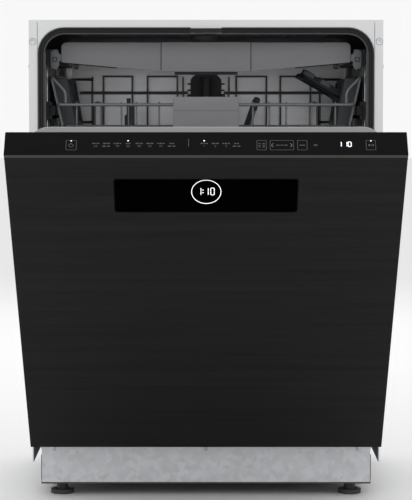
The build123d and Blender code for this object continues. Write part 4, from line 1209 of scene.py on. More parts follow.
@dataclass
class Tub:
    """Pressings and fittings inside the steel tub."""

    fitter: Fitter
    body: str = "cabinet"
    wall: float = 275.0
    back: float = 484.0
    top: float = 797.0
    rise: float = 1.1

    def build(self) -> None:
        """Build and fit every piece inside the tub."""
        self.wall_beads()
        self.dock()
        self.end_details()
        self.ceiling_head()
        self.filter_mesh()

    def wall_beads(self) -> None:
        """Press upright beads into the side walls, a frame into the back and lines into the ceiling."""
        side = slab((self.wall - 2.4, 30, 236), (self.wall + 0.2, 54, 744), 1.6)
        sides = mirrored(repeat(side, [(0, step, 0) for step in range(0, 400, 52)]))
        back = [ring((225, 165), FRONT.at(0, self.back, 400), 40, 10, self.rise, 0.9),
                ring((182, 110), FRONT.at(0, self.back, 390), 30, 8, self.rise, 0.9)]
        line = slab((-1.5, 20, self.top - self.rise), (1.5, 455, self.top + 0.2), 0.5)
        lines = repeat(line, [(x, 0, 0) for x in (-215, -145, -75, 75, 145, 215)])
        floor = [ring((96, 150), FLOOR_UP.at(-120, 240, 190), 34, 7, self.rise, 0.8)]
        self.fitter.fit(join([sides, *back, lines, *floor]), "tub_pressings", Skin.TUB, self.body)

    def dock(self) -> None:
        """Add the frame, ribs and clips of the water dock on the back wall."""
        low, high = lowest("upper_feed_dock"), highest("upper_feed_dock")
        face = low.y
        middle, half_tall = (low.z + high.z) / 2, (high.z - low.z) / 2
        frame = ring((29, half_tall - 7), FRONT.at(0, face, middle + 1), 6, 2.2, 1.4, 0.5)
        mouth = ring((9.6, 9.6), FRONT.at(0, face, 710), 9, 1.8, 1.1, 0.4)
        ribs = repeat(slab((-22.5, face - 0.9, low.z + 12), (-20.9, face + 0.4, high.z - 14), 0.3),
                      [(0, 0, 0), (43.4, 0, 0)])
        clips = repeat(slab((-35, face + 3, low.z + 12), (-28, face + 8, low.z + 15), 0.5),
                       [(x, 0, z) for x in (0, 63) for z in (0, 12)])
        skirt = slab((-36, face + 2.2, low.z - 1), (36, face + 4.4, low.z + 5), 0.6)
        # The dock's lighter plastic is painted light.
        self.fitter.fit(join([frame, mouth, ribs, clips, skirt]), "dock_details", Skin.DOCK, self.body)

    def end_details(self) -> None:
        """Model the plate that closes each rail end, its folded corners and the rim of its square eye."""
        low, high = lowest("rail_end_caps"), highest("rail_end_caps")
        across, up = high.x - 9.6, (low.z + high.z) / 2 - 3.0
        outline = [(-3.6, -16.5), (3.0, -16.5), (7.2, -12.5), (7.2, 12.5), (3.0, 16.5), (-3.6, 16.5),
                   (-7.4, 10.5), (-7.4, -10.5)]
        plate_face = plate(outline, FRONT.at(across, high.y, up), high.y - low.y, 0.8, 0.7)
        eye = ring((4.0, 4.0), FRONT.at(across, low.y, up), 0.8, 1.3, 0.7, 0.2)
        upper_fold = [(-6.4, 9.5), (-3.2, 15.4), (-0.4, 15.4), (-0.4, 16.8), (-3.8, 16.8), (-7.6, 9.5)]
        lower_fold = [(-3.8, -16.8), (-0.4, -16.8), (-0.4, -15.4), (-3.2, -15.4), (-6.4, -9.5), (-7.6, -9.5)]
        brackets = [plate(fold, FRONT.at(across, low.y, up), 0.8, 0.3) for fold in (upper_fold, lower_fold)]
        self.fitter.fit(mirrored(join([plate_face, *brackets])), "rail_ends", Skin.BLUE_GREY_END,
                        "cutlery_tray", "rail_end_caps")
        self.fitter.fit(mirrored(eye), "rail_end_eyes", Skin.SEAL, "cutlery_tray")

    def ceiling_head(self) -> None:
        """Add the nozzle crown of the ceiling spray head."""
        low, axis_y, count = lowest("ceiling_spray_head").z, 245, 10
        profile = [(0, -3.2), (5, -3), (7, -1), (13, -0.6), (14, 0.2), (0, 0.2)]
        crown = turned(profile, FLOOR_UP.at(0, axis_y, low), 28)
        fins = [slab((14, axis_y - 0.8, low - 1), (24, axis_y + 0.8, low + 0.4), 0.3)]
        for step in range(1, count):
            take(fins[0])
            bpy.ops.object.duplicate()
            bpy.ops.transform.rotate(value=math.radians(360 / count * step), orient_axis="Z",
                                     center_override=(0, axis_y * MILLIMETRE, 0))
            bpy.ops.object.transform_apply(location=True, rotation=True, scale=True)
            fins.append(bpy.context.object)
        self.fitter.fit(join([crown, *fins]), "ceiling_nozzle", Skin.DARK, self.body)

    def filter_mesh(self) -> None:
        """Add the filter plate's pressed rings and the cup's ribbed grip."""
        top = highest("fine_filter").z
        rings = [turned([(bore, -0.2), (bore + 1.6, -0.2), (bore + 1.2, 0.7), (bore + 0.4, 0.7),
                         (bore, -0.2)],
                        FLOOR_UP.at(110, 345, top), 48) for bore in (42, 50, 58, 66, 73)]
        self.fitter.fit(join(rings), "filter_rings", Skin.STEEL, self.body)
        cup = highest("filter_cup").z
        grip = slab((86, 342.4, cup - 1), (134, 347.6, cup + 3), 1.6)
        ribs = repeat(slab((88, 341.8, cup - 7), (90, 348.2, cup + 2), 0.5),
                      [(x, 0, 0) for x in spaced(0, 42, 8)])
        self.fitter.fit(join([grip, ribs]), "filter_grip", Skin.GREY, "filter_cup")


# ---------------------------------------------------------------- door
@dataclass
class Door:
    """The door with its prints, display, inner sheet and dispenser."""

    fitter: Fitter
    body: str = "door"
    front: float = -56.0
    top: float = 816.0
    liner: float = -4.0
    plateau: float = 34.0
    print_rise: float = 0.12
    key_line: float = 0.75
    reading: str = "110"

    def __post_init__(self) -> None:
        """Read the hinge from the frame."""
        hinge = next(joint for joint in self.fitter.frame["joints"] if joint["name"] == "door_hinge")
        self.pivot = Vector(hinge["pos_m"])
        self.open_angle = math.radians(-hinge["range_deg"][0])

    def build(self) -> None:
        """Build and fit every piece of the door."""
        self.touch_keys()
        self.programme_row()
        self.fascia_digits()
        self.pocket_reading()
        self.front_edges()
        self.inner_sheet()
        self.dispenser()

    def hang(self, piece: bpy.types.Object, name: str, skin: Skin, body: str = "", *stands_for: str) -> None:
        """Turn a piece of the closed door to its rest angle and fit it.

        Args:
            piece: The piece.
            name: Its name.
            skin: Its finish.
            body: The body it rides on, or "" for the door.
            stands_for: CAD nodes that it replaces.
        """
        take(piece)
        bpy.ops.transform.rotate(value=-self.open_angle, orient_axis="X", center_override=self.pivot)
        bpy.ops.object.transform_apply(location=True, rotation=True, scale=True)
        self.fitter.fit(piece, name, skin, body or self.body, *stands_for)

    def on_top(self, across: float, depth: float) -> Seat:
        """Give a seat on the control panel.

        Args:
            across: Distance from the middle.
            depth: Distance behind the door's front face.

        Returns:
            The seat.
        """
        return FLOOR_UP.at(across, self.front + depth, self.top)

    def key_outline(self, low: float, high: float, near: float, far: float) -> bpy.types.Object:
        """Model a key's printed outline from its limits across and in depth."""
        seat = self.on_top((low + high) / 2, (near + far) / 2)
        return ring(((high - low) / 2, (far - near) / 2), seat, 1.6, self.key_line, self.print_rise)

    def dot(self, across: float, depth: float) -> bpy.types.Object:
        """Model one small indicator light."""
        return turned([(0, self.print_rise), (1.05, self.print_rise), (1.15, 0), (0, 0)],
                      self.on_top(across, depth), 14)

    def touch_keys(self) -> None:
        """Print the outlines of the touch keys and the marks inside them."""
        near, far = 15.0, 35.2
        outlines = [self.key_outline(low, high, near, far) for low, high in
                    ((-208, -192), (75.1, 89.8), (94.8, 130.2), (135.4, 150.3), (237.2, 252))]
        self.hang(join(outlines), "key_outlines", Skin.INK)
        middle = (near + far) / 2
        marks = [self.power_mark(-200.3, middle), self.arrow(98.6, middle, -1), self.arrow(126.4, middle, 1),
                 self.start_mark(244.6, middle)]
        marks += [self.dash(across, middle + lift, wide) for across, lift, wide in
                  ((79.3, 3.6, 3.0), (79.3, 0, 3.0), (79.3, -3.6, 3.0), (85.6, 3.6, 3.6), (85.6, 0, 3.6),
                   (85.6, -3.6, 3.6), (106.5, 0, 5.0), (112.5, 0, 4.0), (118.5, 0, 5.0), (142.8, 0, 8.6))]
        marks += [ring((2.5, 1.5), self.on_top(162.6, middle), 0.8, 0.7, self.print_rise),
                  self.dash(-25.9, 30.0, 0.7, 15.5)]
        self.hang(join(marks), "key_marks", Skin.PALE_INK)

    def dash(self, across: float, depth: float, wide: float, tall: float = 1.15) -> bpy.types.Object:
        """Model a short printed bar around a point of the control panel."""
        outline = [(-wide / 2, -tall / 2), (wide / 2, -tall / 2), (wide / 2, tall / 2), (-wide / 2, tall / 2)]
        return plate(outline, self.on_top(across, depth), self.print_rise, min(wide, tall) * 0.3)

    def power_mark(self, across: float, depth: float) -> bpy.types.Object:
        """Model the power sign: an open circle with an upright bar."""
        circle = turned([(2.9, 0), (3.6, 0), (3.6, self.print_rise), (2.9, self.print_rise), (2.9, 0)],
                        self.on_top(across, depth - 0.5), 28)
        return join([circle, self.dash(across, depth + 3.2, 0.7, 3.6)])

    def start_mark(self, across: float, depth: float) -> bpy.types.Object:
        """Model the start and pause sign: a triangle and two bars."""
        triangle = plate([(-3.4, -2.2), (0.2, 0), (-3.4, 2.2)], self.on_top(across, depth), self.print_rise)
        return join([triangle, self.dash(across + 1.8, depth, 0.8, 4.2),
                     self.dash(across + 3.6, depth, 0.8, 4.2)])

    def arrow(self, across: float, depth: float, way: int) -> bpy.types.Object:
        """Model an arrow head that points left (-1) or right (1)."""
        tip, tail, tall, line = 1.6 * way, -1.4 * way, 3.8, 0.8 * way
        outline = [(tail - line, tall), (tip - line, 0), (tail - line, -tall), (tail + line, -tall),
                   (tip + line, 0), (tail + line, tall)]
        if way < 0:
            outline.reverse()
        return plate(outline, self.on_top(across, depth), self.print_rise)

    def programme_row(self) -> None:
        """Print the signs of the programmes and options, with their indicator lights."""
        programmes = ((-163.6, "65"), (-147.7, ""), (-131.6, "70"), (-115.5, "50"), (-99.2, "40"),
                      (-83.3, "30"),
                      (-67.0, "35"), (-50.7, ""), (-2.7, "1"), (13.8, "2"), (29.8, "3"), (45.5, ""))
        patterns = ((3.6, 2.2, 3.2), (5.4, 4.2), (2.4, 4.4, 2.6), (3.0, 3.0))
        upper, line, gap, tall = 28.6, 5.6, 0.9, 2.1
        pieces = []
        for index, (across, number) in enumerate(programmes):
            pattern = patterns[index % len(patterns)]
            start = across - (sum(pattern) + gap * (len(pattern) - 1)) / 2
            for wide in pattern:
                pieces.append(self.dash(start + wide / 2, upper, wide, tall))
                start += wide + gap
            if number:
                pieces.append(figure(number, self.on_top(across, upper - line), line, self.print_rise))
            else:
                pieces += [self.dash(across - 3.4, upper - line, 5.2, tall),
                           self.dash(across + 3.2, upper - line, 4.4, tall)]
        self.hang(join(pieces), "programme_signs", Skin.INK)
        lights = [self.dot(across, 34.2) for across in (-200.3, -115.7, -2.7, 245.1)]
        self.hang(join(lights), "indicator_lights", Skin.LIT)

    def fascia_digits(self) -> None:
        """Light the remaining time on the control panel."""
        middle = 27.0
        digits = [lit_digit(value, self.on_top(across, middle), 4.4, 9.6, 1.25, self.print_rise)
                  for value, across in zip(self.reading, (198.6, 207.0, 213.2))]
        self.hang(join(digits), "panel_digits", Skin.LIT)

    def pocket_reading(self) -> None:
        """Model the display disc in the handle pocket and light its ring and time."""
        lean = Vector((0, 12, 69)).normalized()
        out = Vector((0, -lean.z, lean.y))
        middle = Vector((0.4, self.front + 2 + 12 * 43 / 69, 741.0)) - 8.1 * lean
        seat = Seat(tuple(middle), (1, 0, 0), tuple(lean))
        glow = 0.3
        screen = turned([(0, 0.7), (23.4, 0.7), (23.9, 0.2), (23.9, -0.6), (0, -0.6)], seat, 72)
        self.hang(screen, "pocket_screen", Skin.POCKET, "", "pocket_display")
        centre = middle + 0.7 * out
        digits = [turned([(21.6, 0), (22.6, 0), (22.6, glow), (21.6, glow), (21.6, 0)], seat.at(*centre), 72)]
        for value, across in zip(self.reading, (-10.6, 0.4, 9.4)):
            spot = centre + Vector((across, 0, 0)) + 0.8 * lean
            digits.append(lit_digit(value, seat.at(*spot), 5.2, 12.8, 1.2, glow))
        for lift in (-2.4, 2.8):
            spot = centre + Vector((-5.0, 0, 0)) + (0.8 + lift) * lean
            digits.append(rest_on(slab((-0.8, -0.8, 0), (0.8, 0.8, glow), 0), seat.at(*spot)))
        self.hang(join(digits), "pocket_reading", Skin.LIT)

    def front_edges(self) -> None:
        """Add the cover over the accent strip's edge, the pocket's lip and the screws under the door."""
        cover = slab((-298.4, self.front - 0.12, 811.6), (298.4, self.front + 0.4, 815.3), 0.1)
        self.hang(cover, "strip_cover", Skin.DOOR_BLACK)
        lip = ring((138.6, 37.6), FRONT.at(0, self.front - 0.02, 732.5), 5.6, 1.2, 0.35, 0.15)
        self.hang(lip, "pocket_lip", Skin.FASCIA)
        heads = repeat(turned([(0, 1.2), (2.8, 1.1), (3.6, 0.5), (4.0, 0)], UNDER.at(0, 0, 0), 16, 50),
                       [(x, self.front + 10, 100) for x in (-270, -90, 90, 270)])
        self.hang(heads, "door_edge_screws", Skin.STEEL)

    def inner_sheet(self) -> None:
        """Press beads into the inner sheet and add its screws and drip rail."""
        face, plateau = self.liner, self.plateau
        step = ring((258, 288), REAR.at(0, plateau, 493), 26, 5, 0.9, 0.6)
        lower = ring((232, 84), REAR.at(0, plateau, 300), 24, 8, 1.2, 0.8)
        upper = ring((232, 50), REAR.at(0, plateau, 702), 24, 8, 1.2, 0.8)
        rib = slab((-150, plateau - 0.1, 236), (150, plateau + 1.2, 243), 0.8)
        ribs = repeat(rib, [(0, 0, lift) for lift in (0, 30, 60, 90, 120)])
        side = slab((-235, plateau - 0.1, 430), (-228, plateau + 1.2, 600), 0.8)
        sides = repeat(side, [(move, 0, 0) for move in (0, 30, 60, 90, 420, 455)])
        self.hang(join([step, lower, upper, ribs, sides]), "liner_pressings", Skin.LINER)
        head = turned([(0, 1.6), (2.6, 1.4), (3.6, 0.7), (4.0, 0)], REAR.at(0, face, 0), 18, 50)
        heads = repeat(head, [(x, 0, z) for x in (-290.5, 290.5) for z in (215, 360, 505, 650, 780)])
        self.hang(heads, "liner_screws", Skin.STEEL)
        drip = slab((-232, plateau - 14, 192.4), (232, plateau - 12, 197.6), 0.6)
        self.hang(drip, "drip_rail", Skin.DARK)

    def dispenser(self) -> None:
        """Add the dispenser's frame, latch, grips and marks."""
        plateau = self.plateau
        rim = ring((82.5, 72.5), REAR.at(75, plateau, 515), 8, 4.2, 0.26, 0.1)
        latch = plate([(-9, -6), (9, -6), (9, 6), (-9, 6)], REAR.at(92, plateau, 470), 4.0, 3.0, 1.0)
        guide = slab((84, plateau, 486), (87, plateau + 3.4, 580), 0.6)
        self.hang(join([rim, latch, guide]), "dispenser_frame", Skin.DARK)
        lid_gap, lid_thick = 0.3, 2.5
        lid = plateau + lid_gap + lid_thick
        ribs = repeat(slab((16, lid - 0.2, 470), (68, lid + 0.9, 472), 0.4),
                      [(0, 0, lift) for lift in spaced(0, 30, 6)])
        border = ring((36, 58), REAR.at(42, lid, 515), 6, 2.0, 0.6, 0.25)
        self.hang(join([ribs, border]), "dispenser_lid_grip", Skin.GREY, "dispenser_lid")
        cap = plateau + 3.3
        circle = ring((15, 15), REAR.at(120, cap, 540), 13, 1.6, 0.6, 0.25)
        star = join([slab((119.2, cap - 0.1, 534), (120.8, cap + 0.4, 546), 0.15),
                     slab((114, cap - 0.1, 539.2), (126, cap + 0.4, 540.8), 0.15)])
        tab = repeat(slab((113, cap - 0.2, 556), (127, cap + 0.8, 557.4), 0.3),
                     [(0, 0, 0), (0, 0, 3), (0, 0, 6)])
        self.hang(join([circle, star, tab]), "rinse_cap_marks", Skin.BLUE, "rinse_aid_cap")


# ---------------------------------------------------------------- racks
@dataclass
class CutleryTray:
    """The moulded cutlery tray under the ceiling."""

    fitter: Fitter
    body: str = "cutlery_tray"
    centre: float = 76.0
    seam: float = 0.9

    def build(self) -> None:
        """Build and fit every piece of the tray."""
        self.front()
        self.combs()
        self.rollers()

    def front(self) -> None:
        """Model the front in three panels, with its seams and the painted shadow in them, its clips and dark
        lower strip.
        """
        low, high = lowest("tray_front"), highest("tray_front")
        face, back, floor = low.y, high.y, 731.0
        wing_low = floor + 16
        middle = plate([(-self.centre, floor), (self.centre, floor), (self.centre, high.z),
                        (-self.centre, high.z)],
                       FRONT.at(0, back, 0), back - face, 0, 1.3)
        inner = self.centre + self.seam
        wing = plate([(inner, floor + 0.3), (high.x, wing_low), (high.x, high.z - 0.5),
                      (inner, high.z - 0.5)],
                     FRONT.at(0, back, 0), back - face - 1.5, 9, 1.1, lambda x, z: x > 200 and z > 770)
        toe = plate([(high.x - 5, wing_low - 2), (high.x - 5, wing_low + 3), (152, floor + 9.5),
                     (152, floor + 5.8)],
                    FRONT.at(0, back, 0), 3.0, 0, 0.4)
        self.fitter.fit(join([middle, mirrored(wing)]), "tray_face", Skin.TRAY, self.body, "tray_front")
        self.fitter.fit(mirrored(toe), "tray_face_toes", Skin.SEAL, self.body)
        # Painted shadow: a dark slab inside each seam between the panels.
        shadow = slab((self.centre - 0.4, face + 2, floor + 2), (inner + 0.4, back - 0.3, high.z - 2), 0)
        strip = slab((-54, face + 4, floor - 5), (54, back - 1, floor + 1), 0.8)
        clips = repeat(slab((-3.5, face + 0.4, floor - 2), (3.5, face + 4, floor + 0.2), 0.4),
                       [(-20, 0, 0), (20, 0, 0)])
        self.fitter.fit(join([mirrored(shadow), strip, clips]), "tray_face_strip", Skin.BLUE_GREY, self.body)
        ticks = repeat(slab((-1.4, face - 0.15, high.z - 2.2), (1.4, face + 2, high.z - 0.6), 0.2),
                       [(-52, 0, 0), (52, 0, 0)])
        self.fitter.fit(ticks, "tray_face_ticks", Skin.GREY, self.body)

    def combs(self) -> None:
        """Model the rows of comb teeth that hold the cutlery."""
        floor = lowest("tray_frame").z + 3
        tooth = plate([(-1.6, -1), (1.6, -1), (0.7, 15), (-0.7, 15)], RIGHT.at(0, 0, floor), 1.4)
        teeth = repeat(tooth, [(x, y, 0) for left, right in ((-228, -84), (84, 228))
                               for x in spaced(left, right, 13) for y in (120, 190, 300, 380)])
        rail = slab((-230, 119, floor - 0.5), (-82, 121, floor + 4), 0.4)
        rails = repeat(rail, [(x, y, 0) for x in (0, 312) for y in (0, 70, 180, 260)])
        self.fitter.fit(join([teeth, rails]), "tray_combs", Skin.TRAY, self.body)
        divider = slab((-79, 52, floor - 0.2), (-77.4, 452, floor + 14), 0.5)
        self.fitter.fit(mirrored(divider), "tray_dividers", Skin.TRAY, self.body)

    def rollers(self) -> None:
        """Model the small guide rollers under the tray's front corners."""
        roller = turned([(0, 4), (3.2, 4), (5.4, 3.2), (5.4, -3.2), (3.2, -4), (0, -4)],
                        RIGHT.at(222, 56, 741), 18)
        bracket = slab((216, 50, 743), (228, 62, 748.5), 0.8)
        self.fitter.fit(mirrored(join([roller, bracket])), "tray_rollers", Skin.DARK, self.body)


@dataclass
class UpperBasket:
    """The wire basket with its handle, adjusters, levers, shelf and tines."""

    fitter: Fitter
    body: str = "upper_basket"
    rim: float = 2.75
    rod: float = 1.6
    floor: float = 600.0
    tine_row: float = -134.0

    def build(self) -> None:
        """Build and fit every piece of the upper basket."""
        self.rims()
        self.handle()
        self.adjusters()
        self.levers()
        self.cup_shelf()
        self.tine_clips()
        self.pipe_details()

    def rims(self) -> None:
        """Bend the rim wires, whose front corners step down to the front rim, the side hoops and the belt."""
        high = highest("upper_basket_rims")
        front_z, side_z, back_z, side_x = 675.0, high.z - self.rim, 695.0, high.x - self.rim
        front = wire([(-250.0, 50, front_z + 1.5), (-252.0, 44, front_z), (252.0, 44, front_z),
                      (250.0, 50, front_z + 1.5)], self.rim, 3, 3)
        side = wire([(side_x, high.y - self.rim, side_z), (side_x, 52, side_z), (240, 48, 697),
                     (240, 48.6, front_z)],
                    self.rim, 7, 3)
        back = wire([(34, high.y - self.rim, back_z), (237, high.y - self.rim, back_z)], self.rim, 0, 3)
        self.fitter.fit(join([front, mirrored(join([side, back]))]), "basket_rims", Skin.WIRE, self.body,
                        "upper_basket_rims")
        hoop = wire([(183.5, 150, self.floor + 4), (183.5, 150, 678), (195.5, 150, 678),
                     (195.5, 150, self.floor + 4)],
                    2.2, 6)
        ends = [wire([(212, 463.2, level), (reach, 463.2, level)], 2.2)
                for level, reach in ((720, 254), (640, 240))]
        # The hoops and the belt wear the darker wire: painted shade.
        self.fitter.fit(mirrored(join([hoop, *ends])), "basket_hoops", Skin.SHADED_WIRE, self.body)
        belt = wire([(-243, 88, 639), (-243, 45, 639), (243, 45, 639), (243, 88, 639)], self.rod, 6)
        self.fitter.fit(belt, "basket_belt", Skin.SHADED_WIRE, self.body)

    def handle(self) -> None:
        """Model the handle with its crease and the grip behind it."""
        low, high = lowest("upper_handle"), highest("upper_handle")
        back, crease = 41.2, 664.7
        face = plate([(-56, low.z), (56, low.z), (56, high.z), (-56, high.z)], FRONT.at(0, back, 0),
                     back - low.y, 5, 1.0)
        groove = slab((-60, low.y - 1, crease - 0.45), (60, low.y + 0.8, crease + 0.45), 0)
        face = bored(face, groove)
        grip = slab((-50, back - 0.6, high.z - 4), (50, 52, high.z - 0.5), 1.0)
        hooks = repeat(slab((-3, back - 0.5, 671), (3, 47.6, 679.4), 1.0),
                       [(x, 0, 0) for x in (-44, -15, 15, 44)])
        self.fitter.fit(join([face, grip, hooks]), "basket_handle", Skin.TRAY, self.body, "upper_handle")

    def adjusters(self) -> None:
        """Add ribs, the release lever and a pocket frame to the height adjusters."""
        lean = Vector((14, 0, 83)).normalized()
        middle = Seat((231.3, 220, 671.0), (0, -1, 0), tuple(lean))
        ribs = [rest_on(slab((-1, 2, -0.2), (1, 74, 1.4), 0.4), middle.at(226.0, y, 640.0))
                for y in (108, 150, 290, 332)]
        frame = ring((38, 27), middle, 6, 3, 2.0, 0.6)
        lever = rest_on(slab((-24, -9, 0), (24, 12, 5), 2.2), middle)
        self.fitter.fit(mirrored(join([*ribs, frame, lever])), "adjuster_ribs", Skin.ADJUSTER, self.body)

    def levers(self) -> None:
        """Model the tine levers: an upright one on the left, and three leaning ones with their tines."""
        upright = plate([(-4.5, 0), (1.5, 0), (3.5, 20), (3.5, 52), (-3.5, 52), (-3.5, 24), (-7, 22),
                         (-7, 2)],
                        FRONT.at(self.tine_row, 108, 634), 7, 0, 0.9)
        self.fitter.fit(upright, "tine_lever_left", Skin.BLUE_GREY, "upper_tines")
        lean = Vector((18, 0, 50)).normalized()
        across = Vector((lean.z, 0, -lean.x))
        outline = [(-5, 0), (5, 0), (5, 76), (2, 80), (-3.5, 80), (-3.5, 76), (-5, 74)]
        bar = plate(outline, Seat((64, 128, 612), tuple(across), tuple(lean)), 8, 0, 1.0)
        more = copies(bar, [(0, step, 0) for step in (70, 140)])
        spine = wire([(66, 118, 614), (66, 280, 614)], 2.4)
        self.fitter.fit(join([bar, *more, spine]), "tine_levers_right", Skin.BLUE_GREY, self.body)
        foot = wire([(66, 60, 609), (66, 300, 609)], 2.0)
        tine = wire([(66, 100, 609), (86, 100, 664)], self.rod)
        tines = repeat(tine, [(0, step, 0) for step in spaced(0, 180, 7)])
        self.fitter.fit(join([foot, tines]), "leaning_tines", Skin.WIRE, self.body)

    def cup_shelf(self) -> None:
        """Model the folding cup shelf with its rolled edge, slats, pale stop strips and glass notches."""
        low, high = lowest("cup_shelf"), highest("cup_shelf")
        pivot = Vector((230.3, 0, 685.0))
        out = Vector((-0.87, 0, 0.5)).normalized()
        seat = Seat(tuple(pivot + Vector((0, high.y, 0))), tuple(out), (0, -1, 0))
        span, reach = high.y - low.y, 77.0

        def bar(start: float, end: float, near: float, far: float, rise: float, base: float = 0.0,
                edge: float = 0.8) -> bpy.types.Object:
            """Model one bar of the shelf from its limits outwards and along the span."""
            return rest_on(slab((start, near, base), (end, far, base + rise), edge), seat)

        web = [bar(0, 10, 0, span, 4.0), bar(reach - 10, reach, 0, span, 3.4),
               bar(reach - 4, reach + 0.6, 0, span, 8.0, -1.2)]
        web += [bar(6, reach - 6, near, near + 7, 3.2) for near in spaced(0, span - 7, 6)]
        web += [bar(8, reach - 12, near, near + 1.8, 2.2, 2.4, 0.4) for near in spaced(14, span - 16, 12)]
        web.append(wire([(pivot.x, low.y, pivot.z), (pivot.x, high.y, pivot.z)], 3.0))
        web += [bar(-6, reach + 2, span - 3.4, span, 15.5, -1.5, 1.2), bar(0, reach, 0, 3.0, 10.0, -1.0, 1.0)]
        self.fitter.fit(join(web), "cup_shelf_web", Skin.BLUE_GREY, "cup_shelf", "cup_shelf")
        strips = [bar(24, 42, span - 1, span + 0.6, 8.5, 7.0, 0.4),
                  bar(56, 76, span - 1, span + 0.6, 8.5, 7.0, 0.4),
                  bar(26, 38, 2, span - 2, 2.6, 2.8), bar(54, 66, 2, span - 2, 2.6, 2.8)]
        knobs = [bar(start, start + 3.4, near, near + 6, 3.0, 5.0, 0.6)
                 for start in (30, 58) for near in spaced(4, span - 10, 5)]
        self.fitter.fit(join([*strips, *knobs]), "cup_shelf_strips", Skin.PALE_BLUE_GREY, "cup_shelf")

    def tine_clips(self) -> None:
        """Add the clips that hold the turning tine wire and the tips of its tines."""
        clip = turned([(2.1, -3), (3.6, -3), (3.9, 0), (3.6, 3), (2.1, 3), (2.1, -3)],
                      FRONT.at(self.tine_row, 0, 607.3), 16)
        self.fitter.fit(repeat(clip, [(0, y, 0) for y in (86, 186, 306, 404)]), "tine_clips", Skin.DARK,
                        self.body)
        tip = tine_tip(self.tine_row, 0, highest("upper_tines").z)
        self.fitter.fit(repeat(tip, [(0, y, 0) for y in spaced(95, 395, 11)]), "tine_domes", Skin.WIRE,
                        "upper_tines")

    def pipe_details(self) -> None:
        """Add collars to the feed pipe under the basket, and the hub that holds the spray arm."""
        collar = turned([(9, -2), (11.4, -2), (11.8, 0), (11.4, 2), (9, 2)], FRONT.at(0, 0, 582), 24)
        collars = repeat(collar, [(0, y, 0) for y in (272, 340, 410)])
        hub = turned([(15, 0), (22, -1), (22, -4), (15, -5)], FLOOR_UP.at(0, 245, 590), 28)
        self.fitter.fit(join([collars, hub]), "feed_pipe_collars", Skin.DARK, self.body)


@dataclass
class LowerBasket:
    """The lower basket's bent rim, handle, wheels and tines."""

    fitter: Fitter
    body: str = "lower_basket"
    wheel: float = 17.0
    spokes: int = 6
    tines: int = 12
    tine_reach: float = 190.0

    def build(self) -> None:
        """Build and fit every piece of the lower basket."""
        self.rims()
        self.wheels("lower_front_wheels")
        self.wheels("lower_rear_wheels")
        self.fittings()

    def rims(self) -> None:
        """Add the middle rim, the arched wires of the walls, the tips of the tines and the fixed rows."""
        belt = wire([(-240.6, 60, 330), (-240.6, 50.9, 330), (240.6, 50.9, 330), (240.6, 462, 330),
                     (-240.6, 462, 330), (-240.6, 61, 330)], 1.5, 7)
        arch = wire([(-238, 53, 262), (-200, 53, 300), (-60, 53, 300), (0, 53, 262), (60, 53, 300),
                     (200, 53, 300), (238, 53, 262)], 1.5, 12)
        self.fitter.fit(join([belt, arch]), "lower_belts", Skin.WIRE, self.body)
        high = highest("lower_tines")
        places = [(x, 0, 0) for x in spaced(-self.tine_reach, self.tine_reach, self.tines)]
        tip = tine_tip(0, (lowest("lower_tines").y + high.y) / 2, high.z)
        self.fitter.fit(repeat(tip, places), "lower_tine_domes", Skin.WIRE, "lower_tines")
        row = wire([(-205, 0, 253.3), (205, 0, 253.3)], 2.0)
        tine = wire([(0, 0, 254), (0, 6, 300), (0, 6, 316)], 1.6, 8)
        fixed = join([row, repeat(tine, places)])
        self.fitter.fit(repeat(fixed, [(0, y, 0) for y in (280, 380)]), "fixed_tines", Skin.WIRE, self.body)

    def wheels(self, node: str) -> None:
        """Turn a pair of wheels with a hub, a dished web and spokes.

        Args:
            node: The CAD node that they stand for, which is also their body.
        """
        low, high = lowest(node), highest(node)
        centre_y, centre_z, outer = (low.y + high.y) / 2, (low.z + high.z) / 2, high.x
        seat = RIGHT.at(outer - 9, centre_y, centre_z)
        profile = [(3.1, 0.0), (6, 0.0), (6.4, 2.6), (12, 3.2), (13.4, 0.6), (16, 0.3), (self.wheel, 1.4),
                   (self.wheel, 7.6), (16, 8.7), (13.4, 8.4), (12, 5.8), (6.4, 6.4), (6, 9.0), (3.1, 9.0),
                   (3.1, 0.0)]
        disc = turned(profile, seat, 36)
        spokes = []
        for index in range(self.spokes):
            angle = math.radians(360 / self.spokes * index)
            sine, cosine = math.sin(angle), math.cos(angle)
            spokes.append(rest_on(slab((-0.8, 5, 0.9), (0.8, 14, 8.1), 0.3),
                                  Seat(seat.origin, (0, cosine, sine), (0, -sine, cosine))))
        self.fitter.fit(mirrored(join([disc, *spokes])), node.replace("lower_", "rolling_"), Skin.DARK, node,
                        node)

    def fittings(self) -> None:
        """Add the handle's grooves and border and the caps on the axles."""
        low, high = lowest("lower_basket_fittings"), highest("lower_basket_fittings")
        face = low.y
        groove = repeat(slab((-54, face - 0.5, 378), (54, face + 0.3, 379.2), 0.3),
                        [(0, 0, step) for step in (0, 6, 12)])
        border = ring((58, 15.5), FRONT.at(0, face, 391), 5, 2, 0.6, 0.3)
        self.fitter.fit(join([groove, border]), "lower_handle_grooves", Skin.DARK, self.body)
        cap = turned([(0, 1.4), (3.6, 1.2), (4.6, 0.4), (4.8, 0), (0, 0)], RIGHT.at(high.x - 0.6, 0, 229.3),
                     18)
        caps = mirrored(repeat(cap, [(0, y, 0) for y in (85, 415)]))
        self.fitter.fit(caps, "axle_caps", Skin.STEEL, self.body)


